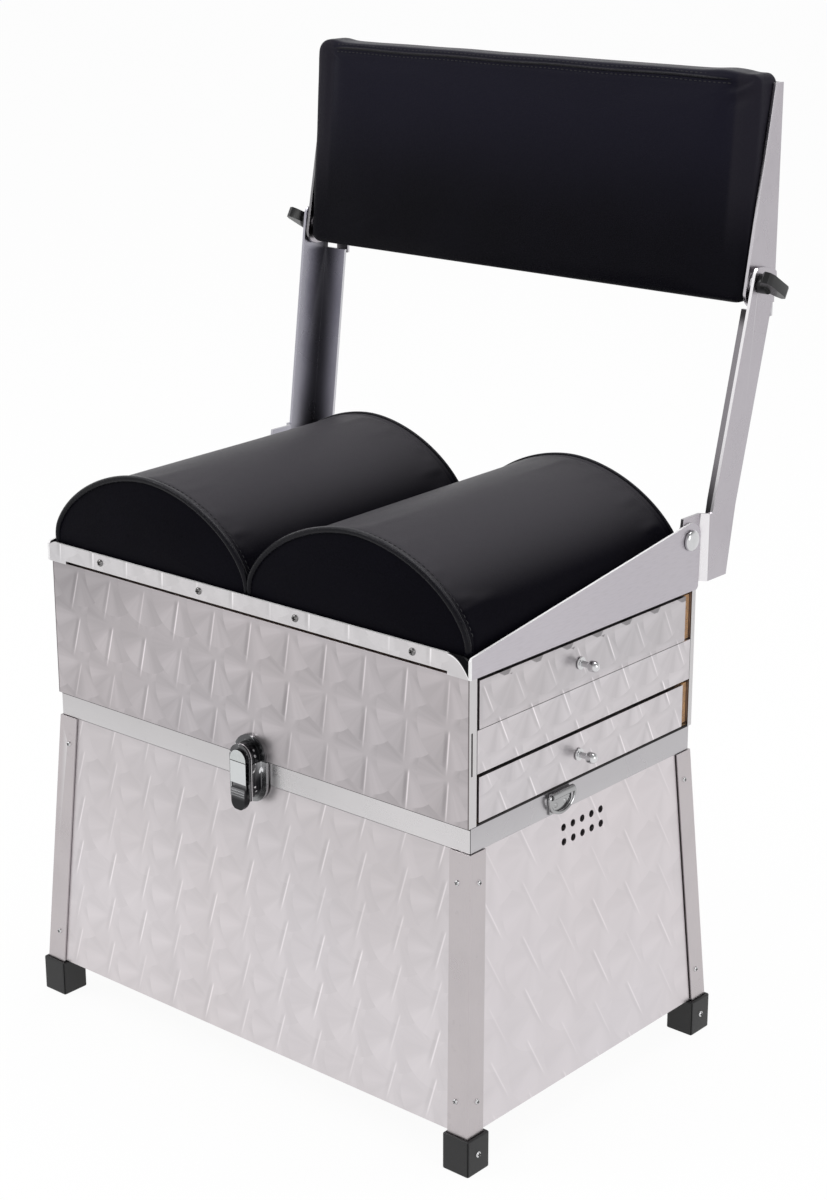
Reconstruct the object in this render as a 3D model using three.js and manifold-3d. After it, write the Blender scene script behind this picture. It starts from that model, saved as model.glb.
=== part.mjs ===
// Fishing seat box with a splayed lower case, a hinged upper case that holds two drawers and a padded
// seat tray, and a backrest on two posts. Millimetres, +Z up, front towards -Y, drawers open towards +X.
import * as THREE from 'three';
import * as BufferGeometryUtils from 'three/addons/utils/BufferGeometryUtils.js';
import Module from 'manifold-3d';

const wasm = await Module();
wasm.setup();

// Clearances and facet counts
const gap = 0.3;
const runningGap = 0.12;
const overrun = 2;
const roundSides = 32;
const smallSides = 20;

// Lower case
const caseWidth = 440;
const caseDepth = 273;
const footHeight = 29.8;
const seamHeight = 269.5;
const rimHeight = 19.7;
const splayWidth = 13.3;
const splayDepth = 17.5;
const panelThickness = 4;
const panelLift = 1.2;
const floorThickness = 5;
const floorLift = 2;

// Rim bar section: outer plate, shelf over the panel, tongue behind the panel, top flange
const rimPlate = 2;
const rimFlange = 10;
const rimTongueBack = 5.2;
const rimTongueDrop = 12;
const mitreGap = 0.25;

// Corner angles, their rivets and the feet
const angleThickness = 1.5;
const angleFrontWidth = 19.6;
const angleSideWidth = 18;
const rivetRadius = 2.3;
const rivetDome = 1.1;
const rivetSink = 0.8;
const rivetTopInset = 23.8;
const rivetBottomInset = 26.7;
const rivetAcrossFront = 12;
const rivetAcrossSide = 10.5;
const footSize = 25;
const footOverhang = 3;
const footPocketDepth = 14.8;
const footChamfer = 1;

// Vent holes in the right panel
const ventRadius = 2.9;
const ventPitch = 11.6;
const ventRows = 2;
const ventColumns = 5;
const ventCentreBack = 3.2;
const ventCentreDrop = 20.6;

// Upper case
const lidExtraWidth = 1;
const lidExtraDepth = 4.8;
const lidHeight = 114.2;
const frontBoard = 8.7;
const rearBoard = 4.9;
const sideBoard = 4;
const lidFloor = 3.2;
const sillThickness = 1.5;
const sillDepth = 8;
const shelfThickness = 5.7;
const guideThickness = 7.5;
const topBoard = 6;
const topBoardRise = 2.7;
const midRailBottomRise = 40.4;
const midRailHeight = 33.3;

// Drawers
const drawerFrontThickness = 7.5;
const drawerFrontRearInset = 13.3;
const drawerFrontLeadInset = 11.2;
const drawerSlot = 0.7;
const lowerFrontHeight = 35;
const upperFrontHeight = 36.9;
const upperFrontLift = 0.4;
const drawerWall = 6;
const drawerBottom = 3;
const drawerEndSpace = 16.9;
const lowerTrayHeight = 31;
const upperTrayHeight = 32;
const drawerSidePlay = 1.4;
const knobForward = 10;
const knobCollarRadius = 5;
const knobCollar = 1.3;
const knobNeckRadius = 2.3;
const knobNeck = 7;
const knobHeadRadius = 4.3;
const knobHead = 8.7;

// Seat tray
const traySheet = 1.8;
const lipThickness = 2;
const lipHeight = 13.5;
const lipForward = 2.1;
const lipCornerRadius = 7;
const slotEndInset = 19;
const lipSkirt = 2.7;
const cheekThickness = 2;
const cheekSideGap = 0.5;
const cheekRearInset = 0.9;
const cheekEndRadius = 13.5;
const pivotInset = 13.4;
const pivotRise = 39.5;

// Seat bolsters
const bolsterSideHeight = 15;
const bolsterRise = 64;
const bolsterRearExtraRise = 6.5;
const bolsterMiddleGap = 1;
const bolsterSideInset = 3.5;
const bolsterRearSideInset = 4.9;
const bolsterFrontInset = 2.9;
const bolsterRearInset = 10.9;
const bolsterEdgeRadius = 4;
const bolsterArchPowerShare = 1.85;
const bolsterArchRootShare = 0.6;
const bolsterArchPoints = 34;

// Pivot and clamp bolts
const boltRadius = 4;
const boltHeadRadius = 8.3;
const boltHeadHeight = 4.6;
const boltRimHeight = 1.6;
const nutRadius = 7;
const nutHeight = 0.9;
const clampHeadRadius = 7;
const clampHeadHeight = 3;
const washerRadius = 9;
const washerThickness = 1.9;

// Backrest posts
const postPlate = 2.5;
const postSideGap = 1.5;
const postFrontBack = 20;
const postWidth = 31.5;
const postLeanShare = 0.18;
const postSplayShare = 0.0483;
const postTopRise = 14;
const postCornerRadius = 6;
const postFlange = 25;
const postFlangeTopDrop = 39;
const postFlangeBottomRise = 6;
const footPlateRise = 0.8;
const footPlateTop = 17.9;
const footPlateRadius = 14;
const footPlateToeForward = 6.5;
const joggleBack = 15.1;
const joggleRun = 4;

// Backrest brackets, board, pad
const clampPostInset = 10.21;
const clampRise = 192.5;
const bracketPlate = 2.5;
const bracketPostGap = 2.84;
const bracketRearBack = 28.14;
const bracketHeight = 168;
const bracketTopDepth = 10.5;
const bracketBottomDepth = 41;
const bracketFlange = 14;
const bracketFlangeLift = 5;
const bracketHeelRadius = 12;
const padSideGap = 0.6;
const padBottomDrop = 16;
const padHeight = 172.5;
const padThickness = 38.2;
const padFrontLean = 13;
const padCornerRadius = 9;
const padEdgeRadius = 10;
const padRearRadius = 3;
const boardThickness = 9;
const boardInset = 18;

// Clamp knobs
const knobHubRadius = 7.5;
const knobHubLength = 4.5;
const wingLength = 34;
const wingFoot = 17;
const wingThickness = 9;
const wingDepth = 12;
const wingTilt = -30;
const knobBoreDepth = 9;

// Hinge
const hingeLeaf = 1.2;
const hingeLeafHeight = 17;
const hingeEndInset = 20;
const knuckleRadius = 2.6;
const knuckleBack = 3.1;
const hingePinRadius = 1.3;
const knuckleCount = 5;

// Latch; forward sizes are taken from the front face of the base plate
const latchCentre = 3;
const latchPlateWidth = 33;
const latchPlateThickness = 2.2;
const latchPlateDrop = 36;
const latchPadThickness = 0.9;
const latchPadHeight = 17;
const keeperHeight = 18.5;
const keeperNoseRise = 7;
const latchWallHalfWidth = 11;
const latchWall = 2;
const latchWallForward = 9.5;
const latchWallDrop = 21;
const latchTabRoom = 7;
const leverPivotForward = 6.5;
const leverPivotDrop = 3;
const leverPinRadius = 1.6;
const leverEyeRadius = 3;
const clawPivotForward = 11;
const clawPivotDrop = 14;
const clawPinRadius = 1;
const leverHalfWidth = 8.3;
const leverCheek = 2.1;
const leverPanelForward = 14.3;
const leverPanelThickness = 2;
const leverPanelRise = 0.5;
const leverPanelDrop = 17.2;
const leverNeckForward = 12.8;
const leverNeckBack = 9;
const leverTabHalfWidth = 7.2;
const leverTabForward = 15.1;
const leverTabBack = 7.5;
const leverTabTopDrop = 21.1;
const leverTabHeelDrop = 28;
const leverTabDrop = 39.3;
const leverTabEnd = 3;
const leverTabChamfer = 1;
const leverRib = 0.4;
const leverRibPitch = 2.1;
const leverRibCount = 3;
const clawForward = 12.1;
const clawThickness = 2.2;
const clawArm = 2.1;
const clawArmDrop = 30;
const clawArchRise = 3.5;
const clawLineRise = 1.1;
const clawCapRise = 2.1;
const latchArchSteps = 16;

// D-rings and their plates
const ringCentreForward = 32.5;
const ringHalfWidth = 15.5;
const ringWireRadius = 1.25;
const ringDrop = 15.6;
const ringShoulder = 2.6;
const ringPivotDrop = 3.3;
const ringPlateThickness = 1.2;
const ringPlateHalfLength = 13.2;
const ringPlateDrop = 18.2;
const ringRollOuter = 2.8;
const ringRollPlay = 0.4;
const ringRivetSpread = 5.5;
const ringRivetDrop = 12.2;
const ringRivetRadius = 2;
const ringRivetDome = 0.55;

// Places worked out from the sizes above
const halfWidth = caseWidth / 2;
const halfDepth = caseDepth / 2;
const hingeHalfLength = halfWidth - hingeEndInset;
const rimBottom = seamHeight - rimHeight;
const panelSetback = angleThickness + gap;
const panelBottom = footHeight + panelLift;
const panelTop = rimBottom - gap;
const angleBottom = footHeight - footPocketDepth + gap;
const floorBottom = panelBottom + floorLift;
const floorTop = floorBottom + floorThickness;
const lidHalfWidth = halfWidth + lidExtraWidth / 2;
const lidHalfDepth = halfDepth + lidExtraDepth / 2;
const lidBottom = seamHeight + gap;
const lidTop = lidBottom + lidHeight;
const lidInnerFront = -lidHalfDepth + frontBoard + gap;
const lidInnerRear = lidHalfDepth - rearBoard - gap;
const lidInnerLeft = -lidHalfWidth + sideBoard + gap;
const lidInnerRight = lidHalfWidth - sideBoard - gap;
const drawerFrontInner = lidHalfWidth - drawerFrontThickness;
const boardRightEnd = drawerFrontInner - gap - gap;
const drawerFrontLead = lidHalfDepth - drawerFrontLeadInset;
const drawerFrontBack = lidHalfDepth - drawerFrontRearInset;
const midRailBottom = seamHeight + midRailBottomRise;
const midRailTop = midRailBottom + midRailHeight;
const shelfTop = midRailTop - gap;
const shelfBottom = shelfTop - shelfThickness;
const guideFront = lidInnerRear - guideThickness;
const topBoardTop = lidTop + topBoardRise;
const topBoardBottom = topBoardTop - topBoard;
const trayBottom = topBoardTop + gap;
const trayTop = trayBottom + traySheet;
const lipFront = -lidHalfDepth - lipForward;
const slotHalfWidth = lidHalfWidth - slotEndInset;
const cheekRearBack = lidHalfDepth - cheekRearInset;
const bolsterFrontBack = lidHalfDepth - bolsterFrontInset;
const bolsterRearBack = lidHalfDepth - bolsterRearInset;
const cheekInner = lidHalfWidth + cheekSideGap;
const cheekOuter = cheekInner + cheekThickness;
const cheekBottom = lidTop + gap;
const pivotHeight = trayBottom + pivotRise;
const pivotBack = lidHalfDepth - pivotInset;
const clampZ = pivotHeight + clampRise;
const footPlateOuter = cheekInner - gap;
const footPlateInner = footPlateOuter - postPlate;
const postInner = cheekOuter + postSideGap;
const postBendHeight = pivotHeight + footPlateTop;
const padBottom = clampZ - padBottomDrop;
const padTop = padBottom + padHeight;

const flareX = (z) => halfWidth + splayWidth * (seamHeight - z) / (seamHeight - footHeight);
const flareY = (z) => halfDepth + splayDepth * (seamHeight - z) / (seamHeight - footHeight);
const postInnerX = (z) => postInner + postSplayShare * Math.max(z - postBendHeight, 0);
const postFrontY = (z) => pivotBack + postFrontBack + postLeanShare * (z - pivotHeight);
const postRearY = (z) => postFrontY(z) + postWidth;
const clampY = postFrontY(clampZ) + clampPostInset;
const bracketRear = clampY + bracketRearBack;
const bracketOuter = postInnerX(clampZ) - bracketPostGap;
const boardRear = bracketRear - bracketPlate - gap;
const padRear = boardRear;
const padFrontBottom = padRear - padThickness;
const padHalfWidth = bracketOuter - bracketPlate - padSideGap;

// Points on a circle from one angle to another, in degrees
function arc(u, v, radius, from, to, steps) {
  const points = [];
  for (let i = 0; i <= steps; i += 1) {
    const angle = THREE.MathUtils.degToRad(from + (to - from) * i / steps);
    points.push([u + radius * Math.cos(angle), v + radius * Math.sin(angle)]);
  }
  return points;
}

function circle(u, v, radius, sides = smallSides) {
  return arc(u, v, radius, 0, 360, sides).slice(0, sides);
}

function roundedRectangle(u0, u1, v0, v1, radius, steps = 5) {
  return [
    ...arc(u1 - radius, v0 + radius, radius, -90, 0, steps),
    ...arc(u1 - radius, v1 - radius, radius, 0, 90, steps),
    ...arc(u0 + radius, v1 - radius, radius, 90, 180, steps),
    ...arc(u0 + radius, v0 + radius, radius, 180, 270, steps),
  ];
}

function rectangle(u0, u1, v0, v1) {
  return [[u0, v0], [u1, v0], [u1, v1], [u0, v1]];
}

// Closed geometry from points and triangles, turned so that its faces point outwards
function closed(points, triangles) {
  let volume = 0;
  for (const [a, b, c] of triangles) {
    const p = points[a];
    const q = points[b];
    const r = points[c];
    volume += p[0] * (q[1] * r[2] - q[2] * r[1]);
    volume -= p[1] * (q[0] * r[2] - q[2] * r[0]);
    volume += p[2] * (q[0] * r[1] - q[1] * r[0]);
  }
  const ordered = volume < 0 ? triangles.map(([a, b, c]) => [a, c, b]) : triangles;
  const geometry = new THREE.BufferGeometry();
  geometry.setAttribute('position', new THREE.Float32BufferAttribute(points.flat(), 3));
  geometry.setIndex(ordered.flat());
  return geometry;
}

// Rings of points joined one to the next, the first and last closed by a flat face
function loft(rings, flat) {
  const count = rings[0].length;
  const points = rings.flat();
  const triangles = [];
  for (let k = 0; k + 1 < rings.length; k += 1) {
    for (let i = 0; i < count; i += 1) {
      const a = k * count + i;
      const b = k * count + (i + 1) % count;
      triangles.push([a, b, b + count], [a, b + count, a + count]);
    }
  }
  const caps = THREE.ShapeUtils.triangulateShape(flat.map(([u, v]) => new THREE.Vector2(u, v)), []);
  const last = (rings.length - 1) * count;
  for (const [a, b, c] of caps) {
    triangles.push([a, c, b], [last + a, last + b, last + c]);
  }
  return closed(points, triangles);
}

// A flat outline carried from one face to another
function slab(outline, near, far) {
  const flat = THREE.ShapeUtils.isClockWise(outline.map(([u, v]) => new THREE.Vector2(u, v)))
    ? [...outline].reverse()
    : outline;
  return loft([flat.map(([u, v]) => near(u, v)), flat.map(([u, v]) => far(u, v))], flat);
}

const alongX = (outline, x0, x1) => slab(outline, (y, z) => [x0, y, z], (y, z) => [x1, y, z]);
const alongY = (outline, y0, y1) => slab(outline, (x, z) => [x, y0, z], (x, z) => [x, y1, z]);
const alongZ = (outline, z0, z1) => slab(outline, (x, y) => [x, y, z0], (x, y) => [x, y, z1]);
const box = (x0, x1, y0, y1, z0, z1) => alongZ(rectangle(x0, x1, y0, y1), z0, z1);

// A profile of [distance along the axis, radius] turned about a line parallel to X
function turnedX(profile, y, z, sides = roundSides) {
  const turned = profile.map(([along, radius]) => new THREE.Vector2(radius, along));
  const lathe = new THREE.LatheGeometry(turned, sides);
  lathe.rotateZ(-Math.PI / 2);
  lathe.translate(0, y, z);
  return lathe;
}

// Solids joined and cut
function toSolid(geometry) {
  const bare = geometry.clone();
  bare.deleteAttribute('normal');
  bare.deleteAttribute('uv');
  const merged = BufferGeometryUtils.mergeVertices(bare);
  return new wasm.Manifold(new wasm.Mesh({
    numProp: 3,
    vertProperties: new Float32Array(merged.attributes.position.array),
    triVerts: new Uint32Array(merged.index.array),
  }));
}

function toGeometry(solid) {
  const mesh = solid.getMesh();
  const geometry = new THREE.BufferGeometry();
  geometry.setAttribute('position', new THREE.Float32BufferAttribute(Array.from(mesh.vertProperties), 3));
  geometry.setIndex(Array.from(mesh.triVerts));
  return geometry;
}

function join(...pieces) {
  return toGeometry(pieces.map(toSolid).reduce((whole, piece) => whole.add(piece)));
}

function cut(base, ...tools) {
  return toGeometry(tools.map(toSolid).reduce((whole, tool) => whole.subtract(tool), toSolid(base)));
}

function common(one, other) {
  return toGeometry(toSolid(one).intersect(toSolid(other)));
}

function mirrored(geometry) {
  const copy = geometry.clone();
  copy.scale(-1, 1, 1);
  const index = Array.from(copy.index.array);
  for (let i = 0; i < index.length; i += 3) {
    [index[i + 1], index[i + 2]] = [index[i + 2], index[i + 1]];
  }
  copy.setIndex(index);
  return copy;
}

// Surfaces
const finishes = {
  turnedAluminium: [0xc4bfc2, 0.35, 0.9],
  aluminium: [0xbdbbbe, 0.38, 0.9],
  steel: [0xd0d0d4, 0.2, 1],
  darkMetal: [0x3c3c40, 0.4, 0.7],
  vinyl: [0x101114, 0.42, 0],
  blackPlastic: [0x19191b, 0.5, 0],
  plywood: [0x8a6440, 0.75, 0],
};

const seatBox = new THREE.Group();
seatBox.name = 'fishing_seat_box';

function addPart(name, geometry, finish) {
  const [color, roughness, metalness] = finishes[finish];
  const flatShaded = geometry.index ? geometry.toNonIndexed() : geometry;
  flatShaded.deleteAttribute('normal');
  flatShaded.computeVertexNormals();
  const mesh = new THREE.Mesh(flatShaded, new THREE.MeshStandardMaterial({ color, roughness, metalness }));
  mesh.name = name;
  seatBox.add(mesh);
}

// Lower case panels
function endPanel(side) {
  const innerX = (z) => flareX(z) - panelSetback - panelThickness - gap;
  const faceY = (z) => side * (flareY(z) - panelSetback);
  const outline = [
    [-innerX(panelBottom), panelBottom],
    [innerX(panelBottom), panelBottom],
    [innerX(panelTop), panelTop],
    [-innerX(panelTop), panelTop],
  ];
  const near = (x, z) => [x, faceY(z), z];
  const far = (x, z) => [x, faceY(z) - side * panelThickness, z];
  return slab(outline, near, far);
}

function sidePanel(side) {
  const innerY = (z) => flareY(z) - panelSetback;
  const faceX = (z) => side * (flareX(z) - panelSetback);
  const outline = [
    [-innerY(panelBottom), panelBottom],
    [innerY(panelBottom), panelBottom],
    [innerY(panelTop), panelTop],
    [-innerY(panelTop), panelTop],
  ];
  const near = (y, z) => [faceX(z), y, z];
  const far = (y, z) => [faceX(z) - side * panelThickness, y, z];
  return slab(outline, near, far);
}

function ventHoles() {
  const holes = [];
  for (let row = 0; row < ventRows; row += 1) {
    for (let column = 0; column < ventColumns; column += 1) {
      const y = -ventCentreBack + ventPitch * (column - (ventColumns - 1) / 2);
      const z = rimBottom - ventCentreDrop + ventPitch * (row - (ventRows - 1) / 2);
      const reach = flareX(z) + overrun;
      holes.push(alongX(circle(y, z, ventRadius, smallSides), reach - panelThickness - rimFlange, reach));
    }
  }
  return holes;
}

addPart('lower_front_panel', endPanel(-1), 'turnedAluminium');
addPart('lower_rear_panel', endPanel(1), 'turnedAluminium');
addPart('lower_left_panel', sidePanel(-1), 'turnedAluminium');
addPart('lower_right_panel', cut(sidePanel(1), ...ventHoles()), 'turnedAluminium');

function floorBoard() {
  const reachX = (z) => flareX(z) - panelSetback - panelThickness - gap;
  const reachY = (z) => flareY(z) - panelSetback - panelThickness - gap;
  const corners = [[-1, -1], [1, -1], [1, 1], [-1, 1]];
  const ring = (z) => (i, j) => [i * reachX(z), j * reachY(z), z];
  return slab(corners, ring(floorBottom), ring(floorTop));
}

addPart('floor_board', floorBoard(), 'plywood');

// Rim bars with mitred ends; u runs inwards from the outer face
const rimSection = [
  [0, rimBottom],
  [rimTongueBack, rimBottom],
  [rimTongueBack, rimBottom - rimTongueDrop],
  [rimTongueBack + rimPlate, rimBottom - rimTongueDrop],
  [rimTongueBack + rimPlate, rimBottom + rimPlate],
  [rimPlate, rimBottom + rimPlate],
  [rimPlate, seamHeight - rimPlate],
  [rimFlange, seamHeight - rimPlate],
  [rimFlange, seamHeight],
  [0, seamHeight],
];

function rimAcross(side) {
  const end = (sign) => (u, z) => [sign * (halfWidth - u - mitreGap), side * (halfDepth - u), z];
  return slab(rimSection, end(-1), end(1));
}

function rimAlong(side) {
  const end = (sign) => (u, z) => [side * (halfWidth - u), sign * (halfDepth - u - mitreGap), z];
  return slab(rimSection, end(-1), end(1));
}

addPart('rim_front', rimAcross(-1), 'aluminium');
addPart('rim_rear', rimAcross(1), 'aluminium');
addPart('rim_left', rimAlong(-1), 'aluminium');
addPart('rim_right', rimAlong(1), 'aluminium');

// Corner angles with rivet heads, and feet
function angleSection(extra) {
  return [
    [-extra, -extra],
    [angleFrontWidth + extra, -extra],
    [angleFrontWidth + extra, angleThickness + extra],
    [angleThickness + extra, angleThickness + extra],
    [angleThickness + extra, angleSideWidth + extra],
    [-extra, angleSideWidth + extra],
  ];
}

function splayedAngle(sideX, sideY, bottom, top, extra) {
  const place = (z) => (a, b) => [sideX * (flareX(z) - a), sideY * (flareY(z) - b), z];
  return slab(angleSection(extra), place(bottom), place(top));
}

function rivetProfile(radius, dome, sink) {
  const points = arc(0, 0, 1, 0, 90, 4).map(([along, across]) => [dome * along, radius * across]);
  return [[-sink, 0], ...points.reverse().map(([a, r], i) => [a, i === 0 ? radius : r])
    .flatMap((point, i) => (i === 0 ? [[-sink, radius], point] : [point]))];
}

function cornerAngle(sideX, sideY) {
  const pieces = [splayedAngle(sideX, sideY, angleBottom, panelTop, 0)];
  const dome = rivetProfile(rivetRadius, rivetDome, rivetSink);
  for (const z of [rimBottom - rivetTopInset, footHeight + rivetBottomInset]) {
    const side = turnedX(dome, 0, 0, smallSides);
    side.rotateZ(sideX > 0 ? 0 : Math.PI);
    side.translate(sideX * flareX(z), sideY * (flareY(z) - rivetAcrossSide), z);
    const front = turnedX(dome, 0, 0, smallSides);
    front.rotateZ(sideY * Math.PI / 2);
    front.translate(sideX * (flareX(z) - rivetAcrossFront), sideY * flareY(z), z);
    pieces.push(side, front);
  }
  return join(...pieces);
}

function foot(sideX, sideY) {
  const outerX = flareX(footHeight) + footOverhang;
  const outerY = flareY(footHeight) + footOverhang;
  const section = [
    [outerX - footSize + footChamfer, outerY - footSize],
    [outerX - footChamfer, outerY - footSize],
    [outerX, outerY - footSize + footChamfer],
    [outerX, outerY - footChamfer],
    [outerX - footChamfer, outerY],
    [outerX - footSize + footChamfer, outerY],
    [outerX - footSize, outerY - footChamfer],
    [outerX - footSize, outerY - footSize + footChamfer],
  ].map(([x, y]) => [sideX * x, sideY * y]);
  const pocket = splayedAngle(sideX, sideY, footHeight - footPocketDepth, footHeight + overrun, gap);
  return cut(alongZ(section, 0, footHeight), pocket);
}

for (const [end, sideY] of [['front', -1], ['rear', 1]]) {
  for (const [hand, sideX] of [['left', -1], ['right', 1]]) {
    addPart(`corner_angle_${end}_${hand}`, cornerAngle(sideX, sideY), 'aluminium');
    addPart(`foot_${end}_${hand}`, foot(sideX, sideY), 'blackPlastic');
  }
}

// Upper case boards
addPart('upper_front_panel', box(-lidHalfWidth, lidHalfWidth, -lidHalfDepth, -lidHalfDepth + frontBoard,
  lidBottom, lidTop), 'turnedAluminium');
addPart('upper_rear_panel', box(-lidHalfWidth, lidHalfWidth, lidHalfDepth - rearBoard, lidHalfDepth,
  lidBottom, lidTop), 'turnedAluminium');
addPart('upper_left_panel', box(-lidHalfWidth, -lidHalfWidth + sideBoard, lidInnerFront, lidInnerRear,
  lidBottom, lidTop), 'turnedAluminium');
addPart('right_mid_rail', box(lidHalfWidth - sideBoard, lidHalfWidth, lidInnerFront, lidInnerRear,
  midRailBottom, midRailTop), 'turnedAluminium');

const lidFloorTop = lidBottom + lidFloor;
const lidFloorSection = [
  [lidInnerLeft, lidBottom],
  [lidHalfWidth, lidBottom],
  [lidHalfWidth, lidBottom + sillThickness],
  [lidHalfWidth - sillDepth, lidBottom + sillThickness],
  [lidHalfWidth - sillDepth, lidFloorTop],
  [lidInnerLeft, lidFloorTop],
];
addPart('upper_floor_board', alongY(lidFloorSection, lidInnerFront, lidInnerRear), 'plywood');
addPart('drawer_shelf', box(lidInnerLeft, lidInnerRight, lidInnerFront, guideFront - gap,
  shelfBottom, shelfTop), 'plywood');
addPart('drawer_guide', box(lidInnerLeft, lidHalfWidth - sillDepth, guideFront, lidInnerRear,
  lidFloorTop + gap, topBoardBottom - gap), 'plywood');
addPart('upper_top_board', box(lidInnerLeft, boardRightEnd, lidInnerFront, lidInnerRear,
  topBoardBottom, topBoardTop), 'plywood');

// Drawers
function drawerTray(bottom, height) {
  const x1 = drawerFrontInner - gap;
  const x0 = lidInnerLeft + drawerEndSpace;
  const y0 = lidInnerFront + drawerSidePlay;
  const y1 = guideFront - drawerSidePlay;
  const inside = box(x0 + drawerWall, x1 - drawerWall, y0 + drawerWall, y1 - drawerWall,
    bottom + drawerBottom, bottom + height + overrun);
  return cut(box(x0, x1, y0, y1, bottom, bottom + height), inside);
}

function drawerKnob(z) {
  const start = lidHalfWidth + gap;
  const neckEnd = knobCollar + knobNeck;
  const head = arc(0, 0, 1, 0, 90, 6).map(([across, along]) => [
    neckEnd + knobHead / 2 + knobHead / 2 * along,
    knobHeadRadius * across,
  ]);
  const profile = [
    [0, 0],
    [0, knobCollarRadius],
    [knobCollar, knobCollarRadius],
    [knobCollar, knobNeckRadius],
    [neckEnd, knobNeckRadius],
    [neckEnd, (knobNeckRadius + knobHeadRadius) / 2],
    [neckEnd + knobHeadRadius / 4, knobHeadRadius],
    ...head,
  ].map(([along, radius]) => [start + along, radius]);
  profile[profile.length - 1][1] = 0;
  return turnedX(profile, -knobForward, z);
}

const drawers = [
  ['lower', lidFloorTop + gap, lowerTrayHeight, lidBottom + sillThickness + drawerSlot, lowerFrontHeight],
  ['upper', shelfTop + gap, upperTrayHeight, midRailTop + upperFrontLift, upperFrontHeight],
];
for (const [name, trayStart, trayHeight, frontBottom, frontHeight] of drawers) {
  addPart(`${name}_drawer_tray`, drawerTray(trayStart, trayHeight), 'plywood');
  addPart(`${name}_drawer_front`, box(drawerFrontInner, lidHalfWidth, -drawerFrontLead, drawerFrontBack,
    frontBottom, frontBottom + frontHeight), 'turnedAluminium');
  addPart(`${name}_drawer_knob`, drawerKnob(frontBottom + frontHeight / 2), 'steel');
}

// Seat tray: bottom sheet, front lip and two cheeks that rise to the pivots
function seatTray() {
  const lipTop = trayBottom + lipHeight;
  const lipBack = lipFront + lipThickness;
  const lipReach = cheekInner + cheekThickness / 2;
  const lip = [
    [-lipReach, cheekBottom],
    [-slotHalfWidth, cheekBottom],
    [-slotHalfWidth, cheekBottom + lipSkirt],
    [slotHalfWidth, cheekBottom + lipSkirt],
    [slotHalfWidth, cheekBottom],
    [lipReach, cheekBottom],
    ...arc(lipReach - lipCornerRadius, lipTop - lipCornerRadius, lipCornerRadius, 0, 90, 5),
    ...arc(-lipReach + lipCornerRadius, lipTop - lipCornerRadius, lipCornerRadius, 90, 180, 5),
  ];
  const rise = pivotHeight + cheekEndRadius - lipTop;
  const run = pivotBack - lipFront;
  const slope = THREE.MathUtils.radToDeg(Math.atan2(rise, run));
  const cheek = [
    [lipFront, cheekBottom],
    ...arc(pivotBack, pivotHeight, cheekEndRadius, -10, 90 + slope, 12),
    [lipFront + lipThickness, lipTop],
    [lipFront, lipTop - lipThickness],
  ];
  cheek.splice(1, 0, [cheekRearBack - lipThickness, cheekBottom],
    [cheekRearBack, cheekBottom + lipThickness]);
  const bottom = box(-lipReach, lipReach, lipFront + lipThickness / 2, cheekRearBack, trayBottom, trayTop);
  const hole = turnedX([[-cheekOuter - overrun, 0], [-cheekOuter - overrun, boltRadius + runningGap],
    [cheekOuter + overrun, boltRadius + runningGap], [cheekOuter + overrun, 0]], pivotBack, pivotHeight);
  const whole = join(bottom, alongY(lip, lipFront, lipBack), alongX(cheek, cheekInner, cheekOuter),
    alongX(cheek, -cheekOuter, -cheekInner));
  return cut(whole, hole);
}

addPart('seat_tray', seatTray(), 'aluminium');

// Seat bolsters: an arched section that rises a little towards the rear, with rounded end edges
function bolster() {
  const base = trayTop + gap;
  const inner = bolsterMiddleGap / 2;
  const stations = [
    [-bolsterFrontBack, bolsterEdgeRadius],
    [-bolsterFrontBack + bolsterEdgeRadius / 3, bolsterEdgeRadius / 3],
    [-bolsterFrontBack + bolsterEdgeRadius, 0],
    [-bolsterFrontBack / 3, 0],
    [bolsterRearBack / 3, 0],
    [bolsterRearBack - bolsterEdgeRadius, 0],
    [bolsterRearBack - bolsterEdgeRadius / 3, bolsterEdgeRadius / 3],
    [bolsterRearBack, bolsterEdgeRadius],
  ];
  const section = (y, inset) => {
    const share = (y + bolsterFrontBack) / (bolsterRearBack + bolsterFrontBack);
    const outer = lidHalfWidth - THREE.MathUtils.lerp(bolsterSideInset, bolsterRearSideInset, share) - inset;
    const start = inner + inset;
    const middle = (start + outer) / 2;
    const half = (outer - start) / 2;
    const rise = bolsterRise + bolsterRearExtraRise * share - inset;
    const low = base + inset;
    const points = [[outer, low]];
    for (let i = 0; i <= bolsterArchPoints; i += 1) {
      const across = Math.cos(Math.PI * i / bolsterArchPoints);
      const arch = (1 - Math.abs(across) ** bolsterArchPowerShare) ** bolsterArchRootShare;
      points.push([middle + half * across, base + bolsterSideHeight + rise * arch]);
    }
    points.push([start, low]);
    return points;
  };
  const rings = stations.map(([y, inset]) => section(y, inset).map(([x, z]) => [x, y, z]));
  return loft(rings, section(0, 0));
}

addPart('seat_bolster_right', bolster(), 'vinyl');
addPart('seat_bolster_left', mirrored(bolster()), 'vinyl');

// Bolts along X: head, shank and a second collar
function boltHead(start, radius, height) {
  const crown = arc(0, 0, 1, 0, 90, 5).map(([across, along]) => [
    start + boltRimHeight + (height - boltRimHeight) * along,
    radius * across,
  ]);
  crown[crown.length - 1][1] = 0;
  return [[start, radius], ...crown];
}

function pivotBolt() {
  const nutStart = footPlateInner - gap - nutHeight;
  const head = boltHead(cheekOuter + gap, boltHeadRadius, boltHeadHeight);
  const profile = [
    [nutStart, 0],
    [nutStart, nutRadius],
    [nutStart + nutHeight, nutRadius],
    [nutStart + nutHeight, boltRadius],
    [cheekOuter + gap, boltRadius],
    ...head,
  ];
  return turnedX(profile, pivotBack, pivotHeight);
}

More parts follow.
